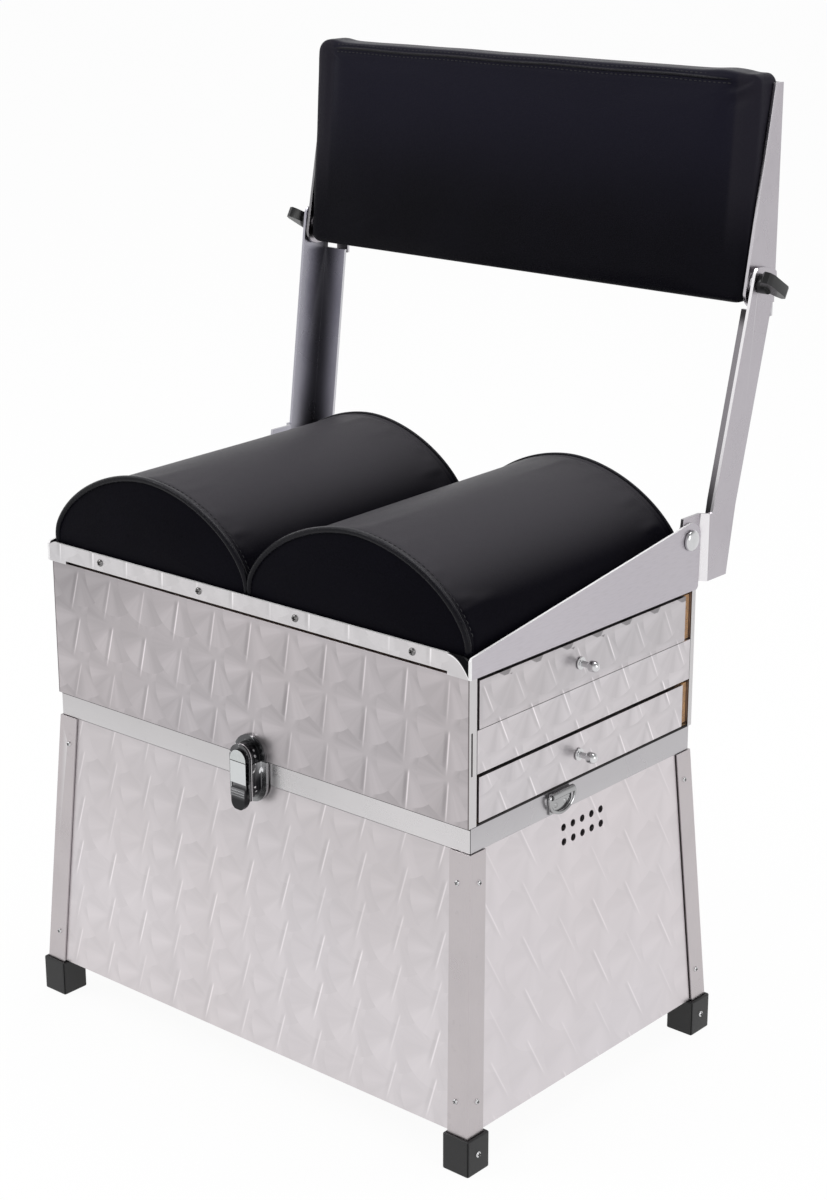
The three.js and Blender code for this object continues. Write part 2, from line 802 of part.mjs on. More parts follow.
// Backrest posts: foot plate inside the cheek, joggle round its rear edge, splayed web and rear flange
function postFoot() {
  const bottom = trayTop + footPlateRise;
  const top = postBendHeight;
  const ramp = pivotBack + joggleBack;
  const farBack = postRearY(top) + overrun;
  const front = pivotBack - footPlateRadius;
  const plan = [
    [footPlateInner, front - overrun],
    [footPlateOuter, front - overrun],
    [footPlateOuter, ramp],
    [postInner + postPlate, ramp + joggleRun],
    [postInner + postPlate, farBack],
    [postInner, farBack],
    [postInner, ramp + joggleRun + gap],
    [footPlateInner, ramp + gap],
  ];
  const silhouette = [
    [pivotBack + footPlateToeForward, bottom],
    [postRearY(bottom), bottom],
    [postRearY(top), top],
    [pivotBack - footPlateRadius / 2, top],
    ...arc(pivotBack, pivotHeight, footPlateRadius, 125, 225, 6),
  ];
  const planPrism = alongZ(plan, bottom - overrun, top + overrun);
  return common(planPrism, alongX(silhouette, footPlateInner - overrun, postInner + postPlate + overrun));
}

function postWeb() {
  const bottom = postBendHeight - overrun;
  const top = clampZ + postTopRise;
  const endDrop = postLeanShare * postWidth;
  const r = postCornerRadius;
  const outline = [
    [postFrontY(bottom), bottom],
    [postRearY(bottom), bottom],
    [postRearY(top - endDrop - r), top - endDrop - r],
    [postRearY(top - endDrop) - r / 3, top - endDrop - r / 4],
    [postRearY(top - endDrop) - r, top - endDrop + r / 4],
    [postFrontY(top) + r, top - postLeanShare * r],
    [postFrontY(top) + r / 4, top - r / 4],
    [postFrontY(top - r), top - r],
  ];
  const inner = (z) => postInner + postSplayShare * (z - postBendHeight);
  return slab(outline, (y, z) => [inner(z), y, z], (y, z) => [inner(z) + postPlate, y, z]);
}

function postRearFlange() {
  const bottom = trayTop + footPlateRise + postFlangeBottomRise;
  const top = clampZ + postTopRise - postFlangeTopDrop;
  const root = (z) => postInnerX(z) + postPlate / 2;
  const edge = (z) => postInnerX(z) + postPlate - postFlange;
  const outline = [
    [root(bottom), bottom],
    [root(postBendHeight), postBendHeight],
    [root(top), top],
    [edge(top), top],
    [edge(postBendHeight), postBendHeight],
    [edge(bottom), bottom],
  ];
  return slab(outline, (x, z) => [x, postRearY(z), z], (x, z) => [x, postRearY(z) - postPlate, z]);
}

function boltHole(y, z) {
  const radius = boltRadius + runningGap;
  const start = footPlateInner - overrun;
  const end = halfWidth + postFlange;
  return turnedX([[start, 0], [start, radius], [end, radius], [end, 0]], y, z);
}

function post() {
  const whole = join(postFoot(), postWeb(), postRearFlange());
  return cut(whole, boltHole(pivotBack, pivotHeight), boltHole(clampY, clampZ));
}

// Backrest brackets: wedge web beside the pad, flange behind the board
function backrestBracket() {
  const bottom = clampZ - padBottomDrop - bracketFlangeLift + overrun;
  const top = bottom + bracketHeight;
  const frontBottom = bracketRear - bracketBottomDepth;
  const heel = bracketHeelRadius;
  const inner = bracketOuter - bracketPlate;
  const web = [
    [frontBottom + heel, bottom],
    [bracketRear, bottom],
    [bracketRear, top],
    [bracketRear - bracketTopDepth, top],
    ...arc(frontBottom + heel, bottom + heel, heel, 180, 255, 5),
  ];
  const flangeStart = padBottom - padBottomDrop + overrun;
  const flange = box(bracketOuter - bracketFlange, bracketOuter - bracketPlate / 2,
    bracketRear - bracketPlate, bracketRear, flangeStart, top);
  return cut(join(alongX(web, inner, bracketOuter), flange), boltHole(clampY, clampZ));
}

function clampBolt() {
  const inner = bracketOuter - bracketPlate;
  const start = inner - gap - clampHeadHeight;
  const end = postInnerX(clampZ) + postPlate + knobBoreDepth;
  const profile = [
    [start, 0],
    [start, clampHeadRadius],
    [inner - gap, clampHeadRadius],
    [inner - gap, boltRadius],
    [end, boltRadius],
    [end, 0],
  ];
  return turnedX(profile, clampY, clampZ);
}

function clampWasher() {
  const start = bracketOuter + gap;
  const bore = boltRadius + runningGap;
  const profile = [
    [start, bore],
    [start, washerRadius],
    [start + washerThickness, washerRadius],
    [start + washerThickness, bore],
    [start, bore],
  ];
  return turnedX(profile, clampY, clampZ);
}

function clampKnob() {
  const start = postInnerX(clampZ + knobHubRadius) + postPlate + gap;
  const bore = boltRadius + runningGap;
  const boreEnd = postInnerX(clampZ) + postPlate + knobBoreDepth + gap;
  const hub = turnedX([[start, 0], [start, knobHubRadius], [start + knobHubLength + overrun, knobHubRadius],
    [start + knobHubLength + overrun, 0]], 0, 0);
  const x0 = start + knobHubLength;
  const x1 = x0 + wingDepth;
  const halfTop = wingLength / 2;
  const halfFoot = wingFoot / 2;
  const wing = [
    [-halfFoot, x0],
    [halfFoot, x0],
    [halfTop - wingDepth / 4, x0 + wingDepth / 4],
    [halfTop, x0 + wingDepth / 2],
    [halfTop - wingDepth / 8, x1 - wingDepth / 6],
    [halfTop - wingDepth / 2, x1],
    [-halfTop + wingDepth / 2, x1],
    [-halfTop + wingDepth / 8, x1 - wingDepth / 6],
    [-halfTop, x0 + wingDepth / 2],
    [-halfTop + wingDepth / 4, x0 + wingDepth / 4],
  ];
  const halfThickness = wingThickness / 2;
  const bar = slab(wing, (u, x) => [x, u, -halfThickness], (u, x) => [x, u, halfThickness]);
  const socket = turnedX([[start - overrun, 0], [start - overrun, bore],
    [boreEnd, bore], [boreEnd, 0]], 0, 0);
  const knob = cut(join(hub, bar), socket);
  knob.rotateX(THREE.MathUtils.degToRad(wingTilt));
  knob.translate(0, clampY, clampZ);
  return knob;
}

const pairs = [
  ['pivot_bolt', pivotBolt(), 'steel'],
  ['post', post(), 'aluminium'],
  ['backrest_bracket', backrestBracket(), 'aluminium'],
  ['clamp_bolt', clampBolt(), 'steel'],
  ['clamp_washer', clampWasher(), 'steel'],
  ['clamp_knob', clampKnob(), 'blackPlastic'],
];
for (const [name, geometry, finish] of pairs) {
  const whole = geometry.index ? geometry : BufferGeometryUtils.mergeVertices(geometry);
  addPart(`${name}_right`, whole, finish);
  addPart(`${name}_left`, mirrored(whole), finish);
}

// Backrest board and pad
const boardHalfWidth = padHalfWidth - boardInset;
addPart('backrest_board', box(-boardHalfWidth, boardHalfWidth, boardRear - boardThickness, boardRear,
  padBottom + boardInset, padTop - boardInset), 'plywood');

function backrestPad() {
  const depth = padRear - padFrontBottom;
  const rings = [[0, padRearRadius], [padRearRadius, 0], [depth - padEdgeRadius, 0]];
  for (const angle of [25, 45, 65, 90]) {
    const turn = THREE.MathUtils.degToRad(angle);
    rings.push([
      depth - padEdgeRadius + padEdgeRadius * Math.sin(turn),
      padEdgeRadius * (1 - Math.cos(turn)),
    ]);
  }
  const outline = (inset) => roundedRectangle(-padHalfWidth + inset, padHalfWidth - inset,
    padBottom + inset, padTop - inset, padCornerRadius);
  const placed = rings.map(([forward, inset]) => outline(inset).map(([x, z]) => {
    const lean = padFrontLean * (z - padBottom) / padHeight * forward / depth;
    return [x, padRear - forward + lean, z];
  }));
  const pocket = box(-boardHalfWidth - gap, boardHalfWidth + gap, boardRear - boardThickness - gap,
    padRear + overrun, padBottom + boardInset - gap, padTop - boardInset + gap);
  const headStart = bracketOuter - bracketPlate - gap - clampHeadHeight - gap;
  const headRoom = turnedX([[headStart, 0], [headStart, clampHeadRadius + gap],
    [padHalfWidth + overrun, clampHeadRadius + gap], [padHalfWidth + overrun, 0]], clampY, clampZ);
  return cut(loft(placed, outline(0)), pocket, headRoom, mirrored(headRoom));
}

addPart('backrest_pad', backrestPad(), 'vinyl');

// Rear hinge: two leaves with alternate knuckles on one pin
const hingeY = lidHalfDepth + knuckleBack;
const hingeZ = seamHeight + gap / 2;
const knuckleBore = hingePinRadius + runningGap;

function knuckle(x0, x1) {
  return turnedX([[x0, knuckleBore], [x0, knuckleRadius], [x1, knuckleRadius], [x1, knuckleBore],
    [x0, knuckleBore]], hingeY, hingeZ, smallSides);
}

function hingeParts() {
  const pitch = hingeHalfLength * 2 / knuckleCount;
  const lower = [box(-hingeHalfLength, hingeHalfLength, halfDepth + gap, halfDepth + gap + hingeLeaf,
    seamHeight - hingeLeafHeight, seamHeight)];
  const upper = [box(-hingeHalfLength, hingeHalfLength, lidHalfDepth + gap, lidHalfDepth + gap + hingeLeaf,
    hingeZ + knuckleRadius + gap, lidBottom + hingeLeafHeight)];
  for (let i = 0; i < knuckleCount; i += 1) {
    const x0 = -hingeHalfLength + pitch * i + (i === 0 ? 0 : gap);
    const x1 = -hingeHalfLength + pitch * (i + 1);
    const bore = turnedX([[x0 - overrun, 0], [x0 - overrun, knuckleBore], [x1 + overrun, knuckleBore],
      [x1 + overrun, 0]], hingeY, hingeZ, smallSides);
    const tab = i % 2 === 0
      ? box(x0, x1, halfDepth + gap, hingeY, seamHeight - hingeLeaf - hingeLeaf, seamHeight)
      : box(x0, x1, lidHalfDepth + gap, lidHalfDepth + gap + hingeLeaf,
        hingeZ, hingeZ + knuckleRadius + overrun);
    const side = i % 2 === 0 ? lower : upper;
    side.push(cut(join(knuckle(x0, x1), tab), bore));
  }
  return [join(...lower), join(...upper)];
}

const [lowerLeaf, upperLeaf] = hingeParts();
addPart('hinge_lower_leaf', lowerLeaf, 'steel');
addPart('hinge_upper_leaf', upperLeaf, 'steel');
addPart('hinge_pin', turnedX([[-hingeHalfLength, 0], [-hingeHalfLength, hingePinRadius],
  [hingeHalfLength, hingePinRadius], [hingeHalfLength, 0]], hingeY, hingeZ, smallSides), 'steel');

// Latch: cup-shaped base on the rim, keeper on the upper case, lever between the arms of the claw
const latchBack = -halfDepth - gap;
const latchPadFront = latchBack - latchPadThickness;
const latchPlateFront = latchPadFront - latchPlateThickness;
const keeperFront = -lidHalfDepth - gap - latchPlateThickness;
const halfPlate = latchPlateWidth / 2;
const wallInner = latchWallHalfWidth - latchWall;
const latchY = (forward) => latchPlateFront - forward;
const leverPivotY = latchY(leverPivotForward);
const leverPivotZ = seamHeight - leverPivotDrop;
const clawPivotY = latchY(clawPivotForward);
const clawPivotZ = seamHeight - clawPivotDrop;

function pinX(y, z, radius, from, to) {
  const a = Math.min(from, to);
  const b = Math.max(from, to);
  return turnedX([[a, 0], [a, radius], [b, radius], [b, 0]], y, z, smallSides);
}

// Flat at the bottom with a half-round top, and the other way up
function archUp(half, bottom, middle) {
  return [
    [latchCentre - half, bottom],
    [latchCentre + half, bottom],
    ...arc(latchCentre, middle, half, 0, 180, latchArchSteps),
  ];
}

function archDown(half, top, middle) {
  return [
    [latchCentre + half, top],
    [latchCentre - half, top],
    ...arc(latchCentre, middle, half, 180, 360, latchArchSteps),
  ];
}

function latchBase() {
  const top = seamHeight - gap;
  const middle = seamHeight - latchWallDrop;
  const root = latchPlateFront + latchPlateThickness / 2;
  const plate = alongY(archDown(halfPlate, top, seamHeight - latchPlateDrop + halfPlate),
    latchPlateFront, latchPadFront);
  const pad = box(latchCentre - halfPlate + overrun, latchCentre + halfPlate - overrun,
    latchPadFront - latchPlateThickness / 2, latchBack, top - latchPadHeight, top);
  const wall = cut(
    alongY(archDown(latchWallHalfWidth, top, middle), latchY(latchWallForward), root),
    alongY(archDown(wallInner, top + overrun, middle), latchY(latchWallForward) - overrun, root + overrun),
    box(latchCentre - wallInner, latchCentre + wallInner, latchY(latchWallForward) - overrun,
      latchY(latchTabRoom), middle - latchWallHalfWidth - overrun, top + overrun),
  );
  const pin = pinX(leverPivotY, leverPivotZ, leverPinRadius, latchCentre - wallInner - latchWall / 2,
    latchCentre + wallInner + latchWall / 2);
  return join(plate, pad, wall, pin);
}

function latchKeeper() {
  const bottom = lidBottom + gap;
  const root = keeperFront + latchPlateThickness / 2;
  const plate = alongY(archUp(halfPlate, bottom, bottom + keeperHeight - halfPlate),
    keeperFront, keeperFront + latchPlateThickness);
  const boss = cut(
    alongY(archUp(latchWallHalfWidth, bottom, seamHeight + clawArchRise), latchY(latchWallForward), root),
    box(latchCentre - wallInner, latchCentre + wallInner, latchY(latchWallForward) - overrun, root + overrun,
      bottom - overrun, seamHeight + keeperNoseRise),
  );
  return join(plate, boss);
}

function latchLever() {
  const panelTop = seamHeight + leverPanelRise;
  const panelBottom = seamHeight - leverPanelDrop;
  const panelFront = latchY(leverPanelForward);
  const panelBack = panelFront + leverPanelThickness;
  const neckTop = panelBottom + leverPanelThickness / 2;
  const neckBack = latchY(leverNeckBack);
  const tabFront = latchY(leverTabForward);
  const tabTop = seamHeight - leverTabTopDrop;
  const tabBottom = seamHeight - leverTabDrop;
  const ribs = [];
  for (let i = 1; i <= leverRibCount; i += 1) {
    const z = tabTop - leverRibPitch * i;
    ribs.push([tabFront, z + leverRib], [tabFront - leverRib, z], [tabFront, z - leverRib]);
  }
  const cheek = [
    ...arc(leverPivotY, leverPivotZ, leverEyeRadius, 90, -90, 8),
    [neckBack, panelBottom],
    [latchY(leverNeckForward), panelBottom],
    [latchY(leverNeckForward), panelTop],
  ];
  const tab = [
    [latchY(leverNeckForward), neckTop],
    [latchY(leverNeckForward), tabTop],
    [tabFront, tabTop],
    ...ribs,
    [tabFront, tabBottom + leverTabChamfer],
    [tabFront + leverTabChamfer, tabBottom],
    [tabFront + leverTabEnd, tabBottom],
    [latchY(leverTabBack), seamHeight - leverTabHeelDrop],
    [latchY(leverTabBack), tabTop - leverTabChamfer],
    [neckBack, tabTop],
    [neckBack, neckTop],
  ];
  const tabFace = archDown(leverTabHalfWidth, neckTop + overrun, tabBottom + leverTabHalfWidth);
  const pieces = [
    box(latchCentre - leverHalfWidth, latchCentre + leverHalfWidth, panelFront, panelBack,
      panelBottom, panelTop),
    common(alongX(tab, latchCentre - leverHalfWidth, latchCentre + leverHalfWidth),
      alongY(tabFace, tabFront - overrun, leverPivotY)),
  ];
  for (const side of [-1, 1]) {
    const a = latchCentre + side * (leverHalfWidth - leverCheek);
    const b = latchCentre + side * leverHalfWidth;
    pieces.push(alongX(cheek, Math.min(a, b), Math.max(a, b)));
  }
  const start = latchCentre - leverHalfWidth - overrun;
  const end = latchCentre + leverHalfWidth + overrun;
  return cut(join(...pieces),
    pinX(leverPivotY, leverPivotZ, leverPinRadius + runningGap, start, end),
    pinX(clawPivotY, clawPivotZ, clawPinRadius + runningGap, start, end));
}

function latchClaw() {
  const front = latchY(clawForward);
  const back = front + clawThickness;
  const bottom = seamHeight - clawArmDrop;
  const line = seamHeight + clawLineRise;
  const opening = latchWallHalfWidth - clawArm;
  const frame = cut(
    alongY(archUp(latchWallHalfWidth, bottom, seamHeight + clawArchRise), front, back),
    box(latchCentre - opening, latchCentre + opening, front - overrun, back + overrun,
      bottom - overrun, line),
  );
  const cap = alongY(archUp(leverHalfWidth, line, seamHeight + clawCapRise), latchY(leverPanelForward),
    front + clawThickness / 2);
  const pins = [-1, 1].map((side) => pinX(clawPivotY, clawPivotZ, clawPinRadius,
    latchCentre + side * (opening + clawArm / 2), latchCentre + side * (leverHalfWidth - leverCheek / 2)));
  return join(frame, cap, ...pins);
}

addPart('latch_base', latchBase(), 'steel');
addPart('latch_keeper', latchKeeper(), 'steel');
addPart('latch_lever', latchLever(), 'darkMetal');
addPart('latch_claw', latchClaw(), 'steel');

// D-rings: wire loop through the rolled top of a riveted plate
const ringX = halfWidth + gap + ringRollOuter;
const ringZ = seamHeight - ringPivotDrop;

function dRing() {
  const centre = -ringCentreForward;
  const shoulder = ringShoulder;
  const straight = ringHalfWidth - shoulder;
  const path = [
    ...arc(centre + straight, ringZ - shoulder, shoulder, 90, 0, 5),
    ...arc(0, 0, 1, 0, -180, 18).map(([across, down]) => [
      centre + ringHalfWidth * across,
      ringZ - shoulder + (ringDrop - shoulder) * down,
    ]).slice(1, -1),
    ...arc(centre - straight, ringZ - shoulder, shoulder, 180, 90, 5),
  ];
  const count = path.length;
  const rings = path.map(([y, z], i) => {
    const [y0, z0] = path[(i + count - 1) % count];
    const [y1, z1] = path[(i + 1) % count];
    const length = Math.hypot(y1 - y0, z1 - z0);
    const normal = [(z1 - z0) / length, -(y1 - y0) / length];
    return circle(0, 0, ringWireRadius, 10).map(([out, side]) => [
      ringX + side,
      y + out * normal[0],
      z + out * normal[1],
    ]);
  });
  const sides = rings[0].length;
  const triangles = [];
  for (let k = 0; k < count; k += 1) {
    for (let i = 0; i < sides; i += 1) {
      const a = k * sides + i;
      const b = k * sides + (i + 1) % sides;
      const c = ((k + 1) % count) * sides + (i + 1) % sides;
      const d = ((k + 1) % count) * sides + i;
      triangles.push([a, b, c], [a, c, d]);
    }
  }
  return closed(rings.flat(), triangles);
}

function dRingBracket() {
  const centre = -ringCentreForward;
  const y0 = centre - ringPlateHalfLength;
  const y1 = centre + ringPlateHalfLength;
  const back = halfWidth + gap;
  const front = back + ringPlateThickness;
  const bore = ringWireRadius + ringRollPlay;
  const roll = alongY(circle(ringX, ringZ, ringRollOuter, smallSides), y0, y1);
  const tunnel = alongY(circle(ringX, ringZ, bore, smallSides), y0 - overrun, y1 + overrun);
  const plate = box(back, front, y0, y1, seamHeight - ringPlateDrop, ringZ);
  const pieces = [plate, roll];
  for (const side of [-1, 1]) {
    const rivet = turnedX(rivetProfile(ringRivetRadius, ringRivetDome, ringPlateThickness / 2),
      centre + side * ringRivetSpread, seamHeight - ringRivetDrop, smallSides);
    rivet.translate(front, 0, 0);
    pieces.push(rivet);
  }
  return cut(join(...pieces), tunnel);
}

for (const [hand, shape] of [['right', (geometry) => geometry], ['left', mirrored]]) {
  addPart(`d_ring_${hand}`, shape(dRing()), 'steel');
  addPart(`d_ring_bracket_${hand}`, shape(dRingBracket()), 'steel');
}

// The origin is the middle of the bounding box's bottom face
const bounds = new THREE.Box3().setFromObject(seatBox);
const middle = bounds.getCenter(new THREE.Vector3());
seatBox.position.set(-middle.x, -middle.y, -bounds.min.z);

export default seatBox;
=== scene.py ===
import math
from collections import namedtuple

import bpy
from mathutils import Matrix, Vector, noise


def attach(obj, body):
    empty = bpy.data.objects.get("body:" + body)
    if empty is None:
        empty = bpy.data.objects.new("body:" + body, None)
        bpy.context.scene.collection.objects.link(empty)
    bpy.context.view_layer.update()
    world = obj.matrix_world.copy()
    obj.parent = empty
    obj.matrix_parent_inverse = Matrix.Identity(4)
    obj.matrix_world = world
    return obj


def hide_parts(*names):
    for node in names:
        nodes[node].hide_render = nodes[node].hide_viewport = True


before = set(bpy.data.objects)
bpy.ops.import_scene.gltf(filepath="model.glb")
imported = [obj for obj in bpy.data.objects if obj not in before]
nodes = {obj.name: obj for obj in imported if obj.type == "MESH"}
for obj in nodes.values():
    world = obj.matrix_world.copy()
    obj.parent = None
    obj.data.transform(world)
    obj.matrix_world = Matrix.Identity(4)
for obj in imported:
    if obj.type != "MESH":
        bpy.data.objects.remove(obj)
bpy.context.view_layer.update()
scene = bpy.context.scene
# how far the frame's origin lies behind the middle of the case
SHIFT = 30.75


def at(x, y, z):
    """Millimetres from the middle of the case to metres in the frame."""
    return Vector((x / 1000, (y - SHIFT) / 1000, z / 1000))


# ---- node helpers

class Nodes:
    """Short calls that add shader nodes and join them."""

    def __init__(self, tree):
        self.tree = tree

    def add(self, kind, **settings):
        node = self.tree.nodes.new("ShaderNode" + kind)
        for key, value in settings.items():
            setattr(node, key, value)
        return node

    def put(self, socket, value):
        if isinstance(value, bpy.types.NodeSocket):
            self.tree.links.new(value, socket)
        else:
            socket.default_value = value

    def math(self, operation, *values):
        node = self.add("Math", operation=operation)
        for socket, value in zip(node.inputs, values):
            self.put(socket, value)
        return node.outputs[0]

    def plus(self, a, b):
        return self.math("ADD", a, b)

    def minus(self, a, b):
        return self.math("SUBTRACT", a, b)

    def times(self, a, b):
        return self.math("MULTIPLY", a, b)

    def share(self, a, b):
        return self.math("DIVIDE", a, b)

    def most(self, a, b):
        return self.math("MAXIMUM", a, b)

    def size(self, a):
        return self.math("ABSOLUTE", a)

    def mix(self, fac, a, b):
        node = self.add("Mix", data_type="FLOAT")
        self.put(node.inputs[0], fac)
        self.put(node.inputs[2], a)
        self.put(node.inputs[3], b)
        return node.outputs[0]

    def blend(self, fac, a, b):
        node = self.add("Mix", data_type="RGBA")
        self.put(node.inputs[0], fac)
        self.put(node.inputs[6], a if not isinstance(a, tuple) else (*a, 1))
        self.put(node.inputs[7], b if not isinstance(b, tuple) else (*b, 1))
        return node.outputs[2]

    def shade(self, level, colour):
        """The colour at a level between black and full."""
        return self.blend(level, (0, 0, 0), colour)

    def ramp(self, value, low, high, out_low=0.0, out_high=1.0, smooth=True):
        kind = "SMOOTHSTEP" if smooth else "LINEAR"
        node = self.add("MapRange", interpolation_type=kind)
        for socket, item in zip(node.inputs, (value, low, high, out_low, out_high)):
            self.put(socket, item)
        return node.outputs[0]

    def combine(self, x, y, z):
        node = self.add("CombineXYZ")
        for socket, value in zip(node.inputs, (x, y, z)):
            self.put(socket, value)
        return node.outputs[0]

    def noise(self, vector, scale, detail=2.0, rough=0.5):
        node = self.add("TexNoise")
        values = {"Vector": vector, "Scale": scale, "Detail": detail, "Roughness": rough}
        for name, value in values.items():
            self.put(node.inputs[name], value)
        return node.outputs[0]

    def chance(self, x, y, z):
        """A random value for each whole place."""
        node = self.add("TexWhiteNoise", noise_dimensions="3D")
        self.put(node.inputs["Vector"], self.combine(x, y, z))
        return node.outputs["Value"]

    def swing(self, value, width):
        """A noise value brought round zero, with this width."""
        return self.times(self.minus(value, 0.5), width)

    def fall(self, value, low, high):
        """One up to the low value and none from the high one on."""
        return self.ramp(value, low, high, 1.0, 0.0)

    def scaled(self, vector, factors):
        node = self.add("VectorMath", operation="MULTIPLY")
        self.put(node.inputs[0], vector)
        node.inputs[1].default_value = factors
        return node.outputs[0]

    def bump(self, height, strength, distance):
        node = self.add("Bump")
        values = {"Strength": strength, "Distance": distance, "Height": height}
        for name, value in values.items():
            self.put(node.inputs[name], value)
        return node.outputs[0]

    def facing(self, kind="True Normal"):
        """The x, y and z of the direction that the surface faces."""
        split = self.add("SeparateXYZ")
        self.put(split.inputs[0], self.add("NewGeometry").outputs[kind])
        return split.outputs

    def edge_wear_and_highlight(self, low, high):
        """How far a place lies on an outer edge."""
        return self.ramp(self.add("NewGeometry").outputs["Pointiness"], low, high)


def material(name):
    """A new material: its nodes, its shader and the object's own coordinates split into x, y, z."""
    made = bpy.data.materials.new(name)
    made.use_nodes = True
    n = Nodes(made.node_tree)
    shader = made.node_tree.nodes["Principled BSDF"]
    place = n.add("TexCoord").outputs["Object"]
    split = n.add("SeparateXYZ")
    n.put(split.inputs[0], place)
    return made, n, shader, place, split.outputs


def finish(n, shader, colour, rough, bump, **plain):
    """Joins the textured values to the shader and sets the plain ones."""
    for name, value in (("Base Color", colour), ("Roughness", rough), ("Normal", bump)):
        n.put(shader.inputs[name], value)
    names = dict(metallic="Metallic", specular="Specular IOR Level", sheen="Sheen Weight",
                 sheen_roughness="Sheen Roughness")
    for key, value in plain.items():
        shader.inputs[names[key]].default_value = value


# ---- materials

# a sheet's rows of discs: how far apart they are along and across the rows, where the pattern
# starts in shares of those, how far odd rows are set off, and where the random values start
Discs = namedtuple("Discs", "pitch rise shift_u shift_v offset seed")
# front planes of the tray's lip and of the latch's caps
LIP_FRONT, CAP_FRONT = -0.1705, -0.1836
# how far the posts go back and outwards for each metre of height
POST_LEAN, POST_SPLAY = 0.172, 0.0634
PAINTED_EDGE_HIGHLIGHT = (0.9, 0.9, 0.91)


def disc_pattern(n, u, v, discs):
    """The polar place of each point on the disc that lies on top, where rows of discs overlap.

    A disc covers those below it and to its left."""
    gv = n.plus(n.share(v, discs.rise), discs.shift_v)
    iv = n.math("FLOOR", gv)
    fv = n.minus(gv, iv)
    flat = discs.rise / discs.pitch
    reach = 0.78 if discs.offset == 0 else 0.74

    def inside(a, b):
        return n.math("LESS_THAN", n.plus(n.times(a, a), n.times(b, b)), reach ** 2)

    def row(number, down):
        odd = n.math("FLOORED_MODULO", number, 2.0)
        gu = n.plus(n.plus(n.share(u, discs.pitch), discs.shift_u), n.times(odd, discs.offset))
        iu = n.math("FLOOR", gu)
        fu = n.minus(gu, iu)
        right = inside(n.minus(fu, 1.0), down)
        left = inside(fu, down)
        return n.minus(fu, right), n.plus(iu, right), n.most(left, right)

    low_down = n.times(fv, flat)
    high_down = n.times(n.minus(fv, 1.0), flat)
    x_low, col_low, _ = row(iv, low_down)
    x_high, col_high, high = row(n.plus(iv, 1.0), high_down)
    x, y = n.mix(high, x_low, x_high), n.mix(high, low_down, high_down)
    cell = n.chance(n.mix(high, col_low, col_high), n.plus(iv, high), float(discs.seed))
    radius = n.math("SQRT", n.plus(n.times(x, x), n.times(y, y)))
    return x, y, radius, cell


def painted_highlight_lines(n, u, v, discs, lean, lean_far, one_sided, streak):
    """Painted highlight: one thin bright line for each place of the lattice, with a faint painted
    shade beside it.

    Also gives the distance across the line and a random value for each line."""
    rows = n.plus(n.share(v, discs.rise), discs.shift_v + (0.0 if one_sided else 0.5))
    row = n.math("CEIL", rows)
    fall = n.minus(row, rows)
    odd = n.times(n.math("FLOORED_MODULO", row, 2.0), discs.offset)
    columns = n.plus(n.plus(n.share(u, discs.pitch), discs.shift_u), odd)
    flat = discs.rise / discs.pitch
    slant = flat / math.tan(math.radians(lean))
    if lean_far:
        slant = n.ramp(u, -0.2, 0.2, slant, flat / math.tan(math.radians(lean_far)), smooth=False)
    middle = n.minus(fall, 0.0 if one_sided else 0.5)
    columns = n.plus(n.plus(columns, n.times(middle, slant)), 0.5)
    column = n.math("FLOOR", columns)
    chance = n.chance(column, row, discs.seed + 0.5)
    across = n.plus(n.minus(n.minus(columns, column), 0.5), n.swing(chance, 0.06))
    line = n.fall(n.size(across), 0.004, 0.03)
    shade = n.fall(n.size(n.plus(across, 0.06)), 0.01, 0.08)
    window = n.times(n.ramp(fall, 0.0, 0.14), n.fall(fall, 0.6, 0.97))
    vary = n.ramp(n.math("FRACT", n.times(chance, 7.31)), 0.0, 1.0, 0.3, 1.0, smooth=False)
    window = n.times(window, vary)
    bright = n.times(n.times(line, window), streak)
    dull = n.times(n.times(shade, window), -0.3 * streak)
    return n.plus(bright, dull), across, chance


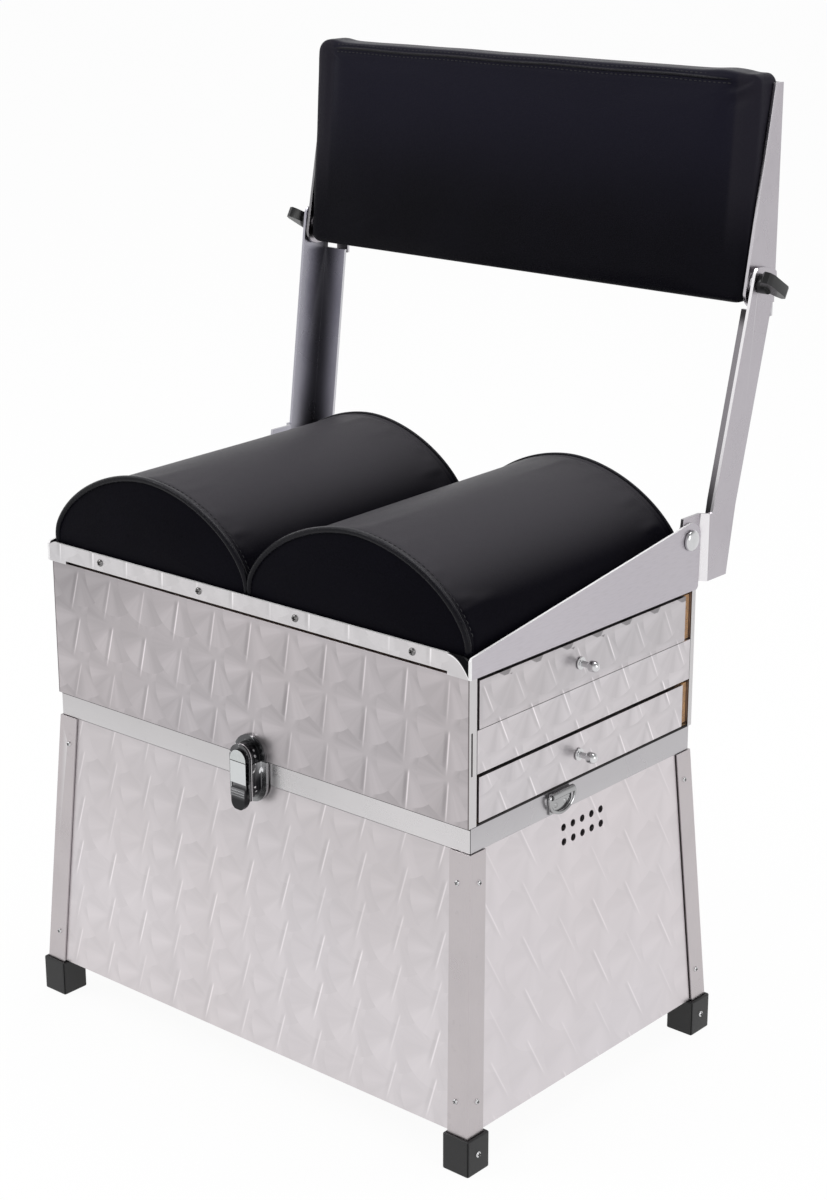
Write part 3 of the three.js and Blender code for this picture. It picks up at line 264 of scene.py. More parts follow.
def engine_turned(name, plane, base, discs, lean, one_sided, fan, streak, lean_far=None, dim=None,
                  dark_corner=None, wedges=None, lip=False, flange=False):
    """Aluminium sheet with rows of swirl-polished discs, each with a thin bright line across it as
    a painted highlight.
    """
    made, n, shader, place, axes = material(name)
    u, v = axes[1] if plane == "side" else axes[0], axes[2]
    x, y, radius, cell = disc_pattern(n, u, v, discs)
    safe = n.most(radius, 0.02)
    cos, sin = n.share(x, safe), n.share(y, safe)

    # soft fans of light and shade that turn round each disc, with slow changes over the sheet
    drift = n.noise(place, 5.5, 1.0)
    broad = n.minus(n.noise(n.combine(cos, sin, n.times(drift, 2.4)), 1.15, 1.0), 0.5)
    rays = n.minus(n.noise(n.combine(cos, sin, n.times(cell, 3.0)), 7.0, 2.0), 0.5)
    turned = n.plus(n.times(broad, fan * 1.55), n.times(rays, fan * 0.35))
    turned = n.times(turned, n.ramp(radius, 0.04, 0.34))
    lines, across, chance = painted_highlight_lines(n, u, v, discs, lean, lean_far, one_sided, streak)
    slow = n.minus(n.noise(place, 9.0, 3.0), 0.5)
    level = n.plus(n.plus(n.plus(turned, n.times(slow, 0.10)), lines), 1.0)
    # painted shade: the upper left of the sheet is darker
    if dark_corner:
        corner = n.times(n.fall(axes[0], -0.235, dark_corner), n.ramp(axes[2], 0.31, 0.39))
        level = n.times(level, n.minus(1.0, n.times(corner, 0.3)))
    if dim:
        # painted shade: the sheet is a little darker above one height
        level = n.times(level, n.ramp(axes[2], dim[0], dim[1], 1.0, dim[2]))
    warm, cool = (tuple(c * f for c, f in zip(base, factors))
                  for factors in ((1.012, 0.995, 0.995), (0.985, 0.995, 1.015)))
    tint = n.blend(n.noise(place, 7.0, 1.0), warm, cool)
    if wedges:
        # painted shadow: dark wedge shapes along the top of the sheet, under the gap above it,
        # reaching lowest beside each bright line
        peak = n.minus(1.0, n.share(n.size(n.plus(across, 0.13)), 0.22))
        peak = n.times(n.most(peak, 0.0), n.ramp(chance, 0.0, 0.6, 0.45, 1.0))
        low = n.minus(wedges, n.times(peak, 0.0062))
        level = n.times(level, n.minus(1.0, n.times(n.ramp(n.minus(v, low), 0.0, 0.0012), 0.5)))
    product = n.add("VectorMath", operation="MULTIPLY")
    n.put(product.inputs[0], tint)
    n.put(product.inputs[1], n.combine(level, level, level))
    colour = product.outputs[0]
    rough = n.plus(0.33, n.times(n.plus(rays, slow), 0.12))
    plain = {"metallic": 1.0}
    if lip:
        colour, rough, plain = lip_finish(n, shader, place, axes, colour, rough)
    if flange:
        colour = flange_finish(n, axes, colour)
    # ring scratches round each disc
    scratch = n.noise(n.combine(n.times(radius, 60.0), n.times(cell, 40.0), 0.0), 1.0, 2.0)
    finish(n, shader, colour, rough, n.bump(scratch, 0.12, 0.00012), **plain)
    return made


def lip_finish(n, shader, place, axes, colour, rough):
    """The tray: turned on its lip only, with painted highlights on its edges and a curved notch at
    the right end.
    """
    on_lip = n.fall(axes[1], -0.1709, -0.1703)
    rolled = n.noise(n.scaled(place, (30, 30, 400)), 3.0, 3.0)
    tray_level = n.ramp(rolled, 0.3, 0.7, 0.93, 1.05, smooth=False)
    # painted shade: the tray's sheet is a little darker towards the rear
    tray = n.blend(n.ramp(axes[1], -0.12, 0.04), (0.535, 0.507, 0.545), (0.505, 0.478, 0.515))
    colour = n.blend(on_lip, n.shade(tray_level, tray), colour)
    rough = n.mix(on_lip, 0.32, rough)
    # painted highlight on the edges of the sheet, at the sides and along the front
    up = n.ramp(n.facing()[2], 0.3, 0.5)
    side = n.size(axes[0])
    along_front = n.times(up, n.fall(axes[1], -0.1697, -0.1693))
    edges = n.most(n.times(up, n.ramp(side, 0.2205, 0.2208)), along_front)
    # the lip is cut away in a curve at its right end, where the cover's black shows
    past = n.most(n.minus(axes[0], 0.200), 0.0)
    curve = n.minus(0.4002, n.times(n.math("POWER", past, 2.4), 155.0))
    over = n.minus(axes[2], curve)
    at_corner = n.times(n.fall(axes[1], -0.1693, -0.1689), n.ramp(axes[0], 0.2008, 0.2030))
    notch = n.times(n.times(n.ramp(over, 0.0, 0.0004), at_corner), n.fall(axes[0], 0.2208, 0.2212))
    # painted highlight along the notch's curve and at the lip's ends
    border = n.times(n.fall(n.size(n.plus(over, 0.0006)), 0.0003, 0.0008), at_corner)
    end_line = n.times(n.fall(axes[1], LIP_FRONT, LIP_FRONT + 0.0004), n.ramp(side, 0.2208, 0.2212))
    edges = n.most(n.most(edges, border), end_line)
    colour = n.blend(edges, colour, (0.86, 0.85, 0.86))
    colour = n.blend(notch, colour, (0.004, 0.004, 0.005))
    n.put(shader.inputs["Metallic"], n.minus(1.0, edges))
    return colour, n.mix(edges, rough, 0.5), {}


def flange_finish(n, axes, colour):
    """Folded end of the front sheet: plain and lighter, with a dark line along the fold."""
    end = n.ramp(n.size(n.facing()[0]), 0.6, 0.8)
    colour = n.blend(end, colour, (0.60, 0.585, 0.59))
    fold_line = n.times(n.ramp(n.size(axes[0]), 0.2190, 0.2196), n.minus(1.0, end))
    return n.blend(n.times(fold_line, 0.8), colour, (0.10, 0.085, 0.085))


def brushed(name, base, grain, rough=0.3, shade_above=None, tone=None):
    """Plain rolled aluminium: fine lines along the bar, faint smudges, and edges brighter with wear
    and painted highlight.
    """
    made, n, shader, place, axes = material(name)
    fine = n.noise(n.scaled(place, grain), 55.0, 3.0, 0.6)
    cloud = n.noise(place, 22.0, 3.0)
    marks = n.ramp(n.noise(place, 160.0, 2.0), 0.66, 0.74)
    level = n.plus(n.plus(0.97, n.swing(cloud, 0.22)), n.swing(fine, 0.10))
    colour = n.shade(n.minus(level, n.times(marks, 0.05)), base)
    if tone:
        colour = tone(n, axes, colour)
    # edges brighter: wear and painted highlight
    colour = n.blend(n.times(n.edge_wear_and_highlight(0.53, 0.6), 0.5), colour, (0.8, 0.8, 0.81))
    # painted shadow under the overhang above the bar
    if shade_above:
        above = n.ramp(axes[2], shade_above, shade_above + 0.0003)
        colour = n.blend(above, colour, (0.03, 0.028, 0.028))
    bump = n.bump(fine, 0.1, 0.0001)
    finish(n, shader, colour, n.plus(rough, n.swing(cloud, 0.25)), bump, metallic=1.0)
    return made


def painted_shade_end(n, axes, colour):
    """Painted shade: a bar that is darker except towards its right end."""
    return n.blend(n.fall(axes[0], 0.05, 0.17), colour, n.shade(0.80, colour))


def dark_hollow(n, axes, colour):
    """Shaded hollow of the left post: darkest where its two flanges meet."""
    height = n.minus(axes[2], 0.3956)
    rear_face = n.plus(0.1382, n.times(height, POST_LEAN))
    side_face = n.plus(-0.2182, n.times(height, -POST_SPLAY))
    reach = n.most(n.minus(rear_face, axes[1]), n.minus(axes[0], side_face))
    return n.shade(n.ramp(reach, 0.001, 0.021, 0.25, 0.74), colour)


def faces_front(n):
    return n.fall(n.facing()[1], -0.8, -0.6)


def lit_edge_shaded_flange(n, axes, colour):
    """The right post: a painted highlight on its front edge, and painted shadow on the rear
    flange's front, darkest on top.
    """
    outer = n.plus(0.2207, n.times(n.minus(axes[2], 0.3896), POST_SPLAY))
    on_edge = n.ramp(n.minus(axes[0], outer), -0.0031, -0.0027)
    dull = n.shade(n.ramp(axes[2], 0.578, 0.590, 0.55, 0.10), colour)
    return n.blend(faces_front(n), colour, n.blend(on_edge, dull, (0.84, 0.82, 0.84)))


# painted shadow: the faces turned to the front are darkened
def dark_front(n, axes, colour):
    return n.shade(n.ramp(n.facing()[1], -0.8, -0.6, 0.2, 1.0), colour)


def polished(name, base, rough):
    """Plated or polished steel with faint smudges."""
    made, n, shader, place, axes = material(name)
    cloud = n.noise(place, 90.0, 3.0)
    fine = n.noise(n.scaled(place, (1, 1, 6)), 420.0, 2.0)
    colour = n.shade(n.plus(0.95, n.swing(cloud, 0.2)), base)
    bump = n.bump(fine, 0.05, 0.0001)
    finish(n, shader, colour, n.plus(rough, n.times(cloud, 0.08)), bump, metallic=1.0)
    return made


def latch_metal(name, cap=False, tab_line=None, back_line=None, plate_line=None):
    """Plated latch part with painted reflections: dark, with painted glints and bright rounded
    edges, and pale on a cap's front.
    """
    made, n, shader, place, axes = material(name)
    cloud = n.noise(place, 120.0, 3.0)
    edge = n.edge_wear_and_highlight(0.53, 0.62)
    # painted reflection: dark plating with paler streaks
    streaks = n.noise(n.scaled(place, (420, 420, 24)), 1.0, 2.0)
    colour = n.blend(n.ramp(streaks, 0.4, 0.8), (0.012, 0.012, 0.014), (0.10, 0.10, 0.105))
    # painted highlight: glints
    glints = n.ramp(n.noise(place, 230.0, 1.0), 0.645, 0.70)
    colour = n.blend(glints, colour, (0.85, 0.85, 0.86))
    # painted light: faces turned to the front are paler
    front = n.ramp(n.facing()[1], -0.75, -0.9)
    colour = n.blend(n.times(front, 0.55), colour, (0.17, 0.17, 0.175))
    rough = n.plus(0.2, n.times(cloud, 0.12))
    if cap:
        # painted reflection: the cap's front is pale
        on_cap = n.times(n.ramp(axes[1], CAP_FRONT, CAP_FRONT - 0.0004), front)
        texture = n.noise(n.scaled(place, (900, 900, 900)), 1.0, 2.0)
        upper = n.times(texture, n.ramp(axes[2], 0.2700, 0.2706))
        pale = n.blend(upper, (0.64, 0.655, 0.66), (0.50, 0.53, 0.52))
        colour = n.blend(on_cap, colour, pale)
        rough = n.mix(on_cap, rough, 0.42)
    if tab_line:
        # painted shade: below the tab line the lever is darker towards the bottom, with a faint
        # painted highlight on its edges
        tab = n.ramp(axes[2], tab_line, tab_line - 0.0006)
        high = n.ramp(axes[2], 0.2385, 0.2455)
        fade = n.blend(high, (0.028, 0.028, 0.030), (0.16, 0.16, 0.165))
        colour = n.blend(tab, colour, n.blend(n.times(edge, 0.3), fade, (0.4, 0.4, 0.41)))
        rough = n.mix(tab, rough, 0.38)
    else:
        # painted highlight on the edges
        colour = n.blend(n.times(edge, 0.35), colour, (0.86, 0.86, 0.87))
    if back_line:
        # painted highlight: pale behind the back line
        colour = n.blend(n.ramp(axes[1], back_line, back_line + 0.0002), colour, PAINTED_EDGE_HIGHLIGHT)
    if plate_line:
        # painted reflection: the plate behind this line is grey, with painted highlight on its
        # edges
        plate = n.ramp(axes[1], plate_line, plate_line + 0.0002)
        colour = n.blend(plate, colour, n.blend(edge, (0.26, 0.26, 0.265), PAINTED_EDGE_HIGHLIGHT))
    finish(n, shader, colour, rough, n.bump(cloud, 0.04, 0.0001), metallic=1.0)
    return made


def vinyl(name, gloss, rough=0.29, sheen=0.02, top=(0.042, 0.041, 0.046), top_from=0.5, pad=False):
    """Black leathercloth: pebbled grain, soft sheen, slightly uneven gloss."""
    made, n, shader, place, axes = material(name)
    warp = n.add("VectorMath", operation="ADD")
    n.put(warp.inputs[0], place)
    wander = n.combine(n.noise(place, 240.0), n.noise(place, 260.0), 0.0)
    n.put(warp.inputs[1], n.scaled(wander, (0.0016, 0.0016, 0)))
    cells = n.add("TexVoronoi", feature="DISTANCE_TO_EDGE")
    n.put(cells.inputs["Vector"], warp.outputs[0])
    n.put(cells.inputs["Scale"], 620.0)
    pebble = n.ramp(cells.outputs["Distance"], 0.0, 0.16)
    cloud = n.noise(place, 14.0, 3.0)
    crease = n.plus(pebble, n.times(n.noise(place, 900.0, 2.0), 0.35))
    tone = n.blend(cloud, (0.0024, 0.0021, 0.0038), (0.0048, 0.0044, 0.0082))
    tone = n.blend(n.times(n.minus(1.0, pebble), 0.45), tone, (0.0015, 0.0015, 0.002))
    # painted sheen: surfaces that face upwards are paler
    tone = n.blend(n.ramp(n.facing("Normal")[2], top_from, 1.0), tone, top)
    if pad:
        # painted light: the backrest is a little paler towards its top and on the strips beside the
        # creases
        high = n.times(n.ramp(axes[2], 0.64, 0.745), 0.45)
        strips = n.times(n.ramp(n.size(axes[0]), 0.204, 0.209), n.ramp(axes[2], 0.63, 0.70))
        tone = n.blend(high, tone, (0.017, 0.016, 0.030))
        tone = n.blend(n.times(strips, 0.5), tone, (0.022, 0.020, 0.026))
    finish(n, shader, tone, n.plus(rough, n.times(cloud, 0.14)), n.bump(crease, 0.32, 0.00022),
           specular=gloss, sheen=sheen, sheen_roughness=0.35)
    return made


def moulded(name, base, rough, texture=0.25):
    """Moulded plastic with fine texture, and edges paler with wear and painted highlight."""
    made, n, shader, place, axes = material(name)
    cloud = n.noise(place, 60.0, 3.0)
    light = tuple(min(1, c * 1.9 + 0.004) for c in base)
    colour = n.blend(n.times(cloud, 0.6), base, light)
    # edges paler: wear and painted highlight
    colour = n.blend(n.times(n.edge_wear_and_highlight(0.53, 0.62), 0.25), colour, (0.09, 0.09, 0.095))
    bump = n.bump(n.noise(place, 1400.0, 2.0), texture, 0.0001)
    finish(n, shader, colour, n.plus(rough, n.swing(cloud, 0.15)), bump, specular=0.35)
    return made


def plywood(name, light=(0.58, 0.40, 0.23), dark_beyond=None):
    """Birch plywood: long grain on the faces, glued layers on the edges."""
    made, n, shader, place, axes = material(name)
    grain = n.noise(n.scaled(place, (4, 60, 60)), 6.0, 4.0, 0.65)
    pores = n.noise(n.scaled(place, (12, 300, 300)), 8.0, 2.0)
    layers = n.math("SINE", n.times(axes[2], 2 * math.pi / 0.0016))
    edge = n.fall(n.size(n.facing()[2]), 0.3, 0.7)
    glue = n.times(n.times(n.ramp(layers, 0.1, 0.8), edge), 0.55)
    colour = n.blend(grain, glue, light)
    colour = n.blend(n.ramp(pores, 0.58, 0.72, 0.0, 0.4), colour, (0.20, 0.10, 0.045))
    colour = n.blend(glue, colour, (0.13, 0.06, 0.025))
    # painted shade: beyond this x the board's end, in a drawer gap, is near black
    if dark_beyond:
        beyond = n.ramp(axes[0], dark_beyond - 0.0003, dark_beyond)
        colour = n.blend(beyond, colour, (0.012, 0.010, 0.010))
    bump = n.bump(grain, 0.2, 0.0003)
    finish(n, shader, colour, n.ramp(grain, 0.2, 0.8, 0.75, 0.55), bump, specular=0.25)
    return made


def dark_line(name, colour):
    """Dull near-black: painted shade for gaps and recesses, and the colour of thread."""
    made, n, shader, place, axes = material(name)
    cloud = n.noise(place, 200.0, 2.0)
    tone = n.blend(cloud, colour, tuple(c * 2.2 for c in colour))
    bump = n.bump(cloud, 0.1, 0.0001)
    finish(n, shader, tone, n.plus(0.6, n.times(cloud, 0.2)), bump, specular=0.2)
    return made


# painted light and shade: each turned sheet gets its own base colour, the upper front darkest
front_upper = engine_turned(
    "turned_front_upper", "front", (0.476, 0.446, 0.454),
    Discs(0.0392, 0.0392, 0.841, 0.267, 0.0, 3),
    -106, True, 0.46, 0.78, lean_far=-94.6, dark_corner=-0.06, flange=True)
front_lower = engine_turned(
    "turned_front_lower", "front", (0.652, 0.617, 0.625), Discs(0.0392, 0.0392, 0.01, 0.75, 0.0, 5),
    76, False, 0.22, 0.36, dim=(0.10, 0.24, 0.89))
side_lower = engine_turned(
    "turned_side_lower", "side", (0.66, 0.623, 0.634), Discs(0.043, 0.043, 0.3, 0.6, 0.0, 8),
    118, False, 0.13, 0.20)
side_upper = engine_turned(
    "turned_side_upper", "side", (0.602, 0.574, 0.585), Discs(0.0368, 0.0285, 1.22, 0.78, 0.5, 11),
    -64, True, 0.36, 0.56, dim=(0.3430, 0.3436, 0.9), wedges=0.3805)
tray_metal = engine_turned(
    "turned_lip", "front", (0.63, 0.615, 0.62), Discs(0.0392, 0.0392, 0.25, 0.27, 0.0, 14),
    -92, True, 0.30, 0.5, lip=True)
bar_x = brushed("bar_along_x", (0.620, 0.594, 0.601), (1, 40, 40), shade_above=0.2680,
                tone=painted_shade_end)
# painted shade: the bars along y, at the sides, are a darker copy of those along x
bar_y = brushed("bar_along_y", (0.380, 0.360, 0.378), (40, 1, 40), shade_above=0.2691)
bar_z = brushed("bar_upright", (0.530, 0.492, 0.502), (40, 40, 1.2))
POST_TONE, POST_GRAIN = (0.485, 0.458, 0.490), (30, 30, 1.5)
post_metal = brushed("post_metal", POST_TONE, POST_GRAIN, 0.28)
post_hollow = brushed("post_metal_left", (0.545, 0.535, 0.60), POST_GRAIN, 0.28, tone=dark_hollow)
post_angle = brushed("post_metal_right", POST_TONE, POST_GRAIN, 0.28, tone=lit_edge_shaded_flange)
bracket_left = brushed("bracket_metal_left", POST_TONE, POST_GRAIN, 0.28, tone=dark_front)
chrome = polished("polished_steel", (0.66, 0.66, 0.67), 0.14)
ring_steel = polished("ring_steel", (0.40, 0.40, 0.405), 0.10)
latch_chrome = latch_metal("latch_steel", plate_line=-0.1709)
latch_cover = latch_metal("latch_claw_steel", cap=True, back_line=-0.1814)
latch_handle = latch_metal("latch_lever_steel", cap=True, tab_line=0.2526)
vinyl_black = vinyl("black_leathercloth", 0.018, top=(0.060, 0.057, 0.064), top_from=0.6)
vinyl_pad = vinyl("black_leathercloth_pad", 0.038, sheen=0.06, pad=True)
vinyl_welt = vinyl("black_leathercloth_welt", 0.12, rough=0.12)
foot_plastic = moulded("foot_plastic", (0.0085, 0.0085, 0.009), 0.42)
knob_plastic = moulded("knob_plastic", (0.006, 0.006, 0.0065), 0.30, 0.09)
ply = plywood("birch_plywood")
# painted light: a paler copy of the plywood for the guide board, which lies in the shade of the
# drawer gaps
lit_ply = plywood("birch_plywood_lit", (0.95, 0.55, 0.26))
top_ply = plywood("birch_plywood_top", dark_beyond=0.2122)
sill_ply = plywood("birch_plywood_sill", dark_beyond=0.2195)
gap_line = dark_line("dark_gap", (0.012, 0.009, 0.009))
recess = dark_line("dark_recess", (0.01, 0.009, 0.009))
thread = dark_line("thread", (0.02, 0.02, 0.022))


# the first row that a node's name starts with gives its material
FINISHES = (
    (("upper_front_panel", "upper_rear_panel"), front_upper),
    (("lower_front_panel", "lower_rear_panel"), front_lower),
    (("lower_left_panel", "lower_right_panel"), side_lower),
    (("upper_left_panel", "right_mid_rail", "lower_drawer_front", "upper_drawer_front"),
     side_upper),
    ("seat_tray", tray_metal),
    (("rim_front", "rim_rear"), bar_x),
    (("rim_left", "rim_right"), bar_y),
    ("corner_angle", bar_z),
    ("post_left", post_hollow),
    ("post_right", post_angle),
    ("backrest_bracket_left", bracket_left),
    ("backrest_bracket", post_metal),
    ("d_ring", ring_steel),
    ("foot_", foot_plastic),
    ("clamp_knob", knob_plastic),
    (("seat_bolster", "backrest_pad"), vinyl_black),
    (("latch_base", "latch_keeper"), latch_chrome),
    ("latch_claw", latch_cover),
    ("latch_lever", latch_handle),
    ("upper_floor_board", sill_ply),
    ("upper_top_board", top_ply),
    ("drawer_guide", lit_ply),
    (("floor_board", "drawer_shelf", "backrest_board", "lower_drawer_tray", "upper_drawer_tray"),
     ply),
    ("", chrome),
)


def pick(name):
    return next(made for start, made in FINISHES if name.startswith(start))


BEVELLED = ("rim_", "corner_angle", "foot_", "latch_", "seat_tray", "post_", "backrest_bracket",
            "clamp_", "pivot_bolt", "lower_drawer_front", "upper_drawer_front", "right_mid_rail",
            "upper_front_panel", "lower_drawer_knob", "upper_drawer_knob", "d_ring_bracket")
for name, obj in nodes.items():
    for slot in obj.material_slots:
        slot.link = "OBJECT"
        slot.material = pick(name)
    if name.startswith(BEVELLED):
        weld = obj.modifiers.new("weld", "WELD")
        weld.merge_threshold = 0.000002
        bevel = obj.modifiers.new("edge", "BEVEL")
        bevel.width = 0.0012 if name.startswith("foot_") else 0.0004
        bevel.segments = 2
        bevel.limit_method = "ANGLE"
        bevel.angle_limit = math.radians(32)
        obj.modifiers.new("even", "WEIGHTED_NORMAL").keep_sharp = False


# ---- mesh helpers

def mesh_object(name, points, faces, mat, smooth=True):
    data = bpy.data.meshes.new(name)
    data.from_pydata([tuple(p) for p in points], [], faces)
    data.validate()
    data.update()
    for face in data.polygons:
        face.use_smooth = smooth
    data.materials.append(mat)
    obj = bpy.data.objects.new(name, data)
    scene.collection.objects.link(obj)
    return obj


def ringed(name, rings, mat):
    """A closed skin over rings of equal point count, closed at both ends round a middle point."""
    count = len(rings[0])
    points = [p for ring in rings for p in ring]
    faces = []
    for k in range(len(rings) - 1):
        for i in range(count):
            j = (i + 1) % count
            a, b = k * count, (k + 1) * count
            faces.append((a + i, a + j, b + j, b + i))
    for k, order in ((0, -1), (len(rings) - 1, 1)):
        points.append(sum(rings[k], Vector()) / count)
        for i in range(count):
            pair = (k * count + i, k * count + (i + 1) % count)[::order]
            faces.append((len(points) - 1, *pair))
    return mesh_object(name, points, faces, mat)


def tube(name, path, radius, mat, taper):
    """A round cord-like skin along a path, drawn in over a few points at its ends."""
    rings, last = [], None
    sides, total = 12, len(path)
    for i, p in enumerate(path):
        ahead = path[i + 1] if i < total - 1 else p
        behind = path[i - 1] if i > 0 else p
        forward = (ahead - behind).normalized()
        side = last if last else forward.orthogonal()
        side = (side - forward * side.dot(forward)).normalized()
        last = side
        other = forward.cross(side)
        size = radius * min(1.0, 0.35 + min(i, total - 1 - i) / taper)
        rings.append([p + (side * math.cos(t) + other * math.sin(t)) * size
                      for t in (2 * math.pi * s / sides for s in range(sides))])
    return ringed(name, rings, mat)


def stitches(name, path, normals, length, pitch):
    """Short raised threads in a row along a path."""
    radius = 0.00042
    points, faces = [], []
    travelled, target, run = 0.0, pitch / 2, []
    for i in range(len(path) - 1):
        a, b = Vector(path[i]), Vector(path[i + 1])
        step = (b - a).length
        while travelled + step >= target:
            share = (target - travelled) / step
            run.append((a.lerp(b, share), (b - a).normalized(),
                        Vector(normals[i]).lerp(Vector(normals[i + 1]), share).normalized()))
            target += pitch
        travelled += step
    # each thread's sections: place along it, lift and size
    profile = ((-0.5, -0.6, 0.35), (-0.34, 0.25, 0.8), (0.0, 0.6, 1.0), (0.34, 0.25, 0.8),
               (0.5, -0.6, 0.35))
    for middle, forward, up in run:
        side = forward.cross(up).normalized()
        start = len(points)
        for share, lift, size in profile:
            centre = middle + forward * length * share + up * radius * lift
            for k in range(6):
                t = 2 * math.pi * k / 6
                points.append(centre + (side * math.cos(t) + up * math.sin(t)) * radius * size)
        for r in range(len(profile) - 1):
            for k in range(6):
                a, b = start + r * 6, start + (r + 1) * 6
                faces.append((a + k, a + (k + 1) % 6, b + (k + 1) % 6, b + k))
        faces.append(tuple(start + k for k in range(6))[::-1])
        faces.append(tuple(start + (len(profile) - 1) * 6 + k for k in range(6)))
    return mesh_object(name, points, faces, thread)


SWELL_FRAMES = 20


def swell(obj, pinned, limit):
    """Blows the skin up a little as cloth and keeps the result, each point moved at most limit."""
    before = [v.co.copy() for v in obj.data.vertices]
    group = obj.vertex_groups.new(name="held")
    for index, weight in pinned:
        group.add([index], weight, "REPLACE")
    cloth = obj.modifiers.new("cloth", "CLOTH")
    values = dict(quality=6, mass=0.35, tension_stiffness=18, compression_stiffness=18,
                  shear_stiffness=8, bending_stiffness=0.6, use_pressure=True,
                  uniform_pressure_force=4.0, vertex_group_mass="held")
    for key, value in values.items():
        setattr(cloth.settings, key, value)
    cloth.settings.effector_weights.gravity = 0
    cloth.collision_settings.use_collision = False
    cloth.point_cache.frame_start = 1
    cloth.point_cache.frame_end = SWELL_FRAMES
    for number in range(1, SWELL_FRAMES + 1):
        scene.frame_set(number)
    held = obj.evaluated_get(bpy.context.evaluated_depsgraph_get())
    after = [v.co.copy() for v in held.data.vertices]
    obj.modifiers.remove(cloth)
    scene.frame_set(1)
    for vertex, old, new in zip(obj.data.vertices, before, after):
        move = new - old
        if move.length > limit:
            move = move.normalized() * limit
        vertex.co = old + move
    obj.data.update()


def limited(value):
    return max(0.0, min(1.0, value))


def ripple(x, y, z):
    return noise.noise(Vector((x, y, z)))


def soften(obj):
    sub = obj.modifiers.new("smooth", "SUBSURF")
    sub.levels = sub.render_levels = 1


# ---- seat bolsters

# underside, front and rear of the bolsters
BASE = 389.1
FRONT, REAR = -136.0, 128.0
# middle of a bolster from side to side, and of its ends
BOLSTER_MIDDLE = 108.0
END_MIDDLE = Vector((BOLSTER_MIDDLE, 0, BASE + 34))
# sizes of an end's rings beside its outline, from the middle outwards
END_SHARES = (0.10, 0.24, 0.38, 0.52, 0.65, 0.77, 0.87, 0.95)
# a bolster's inner and outer sides and how much it narrows towards the rear, then the height of its
# straight sides, that of the arch over them and how much the arch gains towards the rear
INNER, OUTER, NARROWING = 0.5, 217.0, 1.4
SIDE_RISE, ARCH_RISE, ARCH_GAIN = 15, 66.0, 4.5
# steps along the arch and the underside
ARCH, FLAT = 60, 22


def bolster_ring(y, inset):
    """One closed section of a bolster at depth y: the arch, then the flat underside."""
    share = (y - FRONT) / (REAR - FRONT)
    outer = OUTER - NARROWING * share - inset
    start = INNER + inset
    middle, half = (start + outer) / 2, (outer - start) / 2
    rise = ARCH_RISE + ARCH_GAIN * share - inset
    low = BASE + inset * 0.7
    ring = []
    for i in range(ARCH + 1):
        # closer steps at the steep ends of the arch
        across = math.cos(math.pi * i / ARCH)
        arch = (1 - abs(across) ** 1.85) ** 0.6 if abs(across) < 1 else 0.0
        ring.append((middle + half * across, BASE + SIDE_RISE + rise * arch))
    side = [(start, BASE + SIDE_RISE - SIDE_RISE * s / 4) for s in range(1, 4)]
    under = [(start + (outer - start) * s / FLAT, low) for s in range(FLAT + 1)]
    up = [(outer, BASE + SIDE_RISE * s / 4) for s in range(1, 4)]
    ring += side + under + up
    return ring


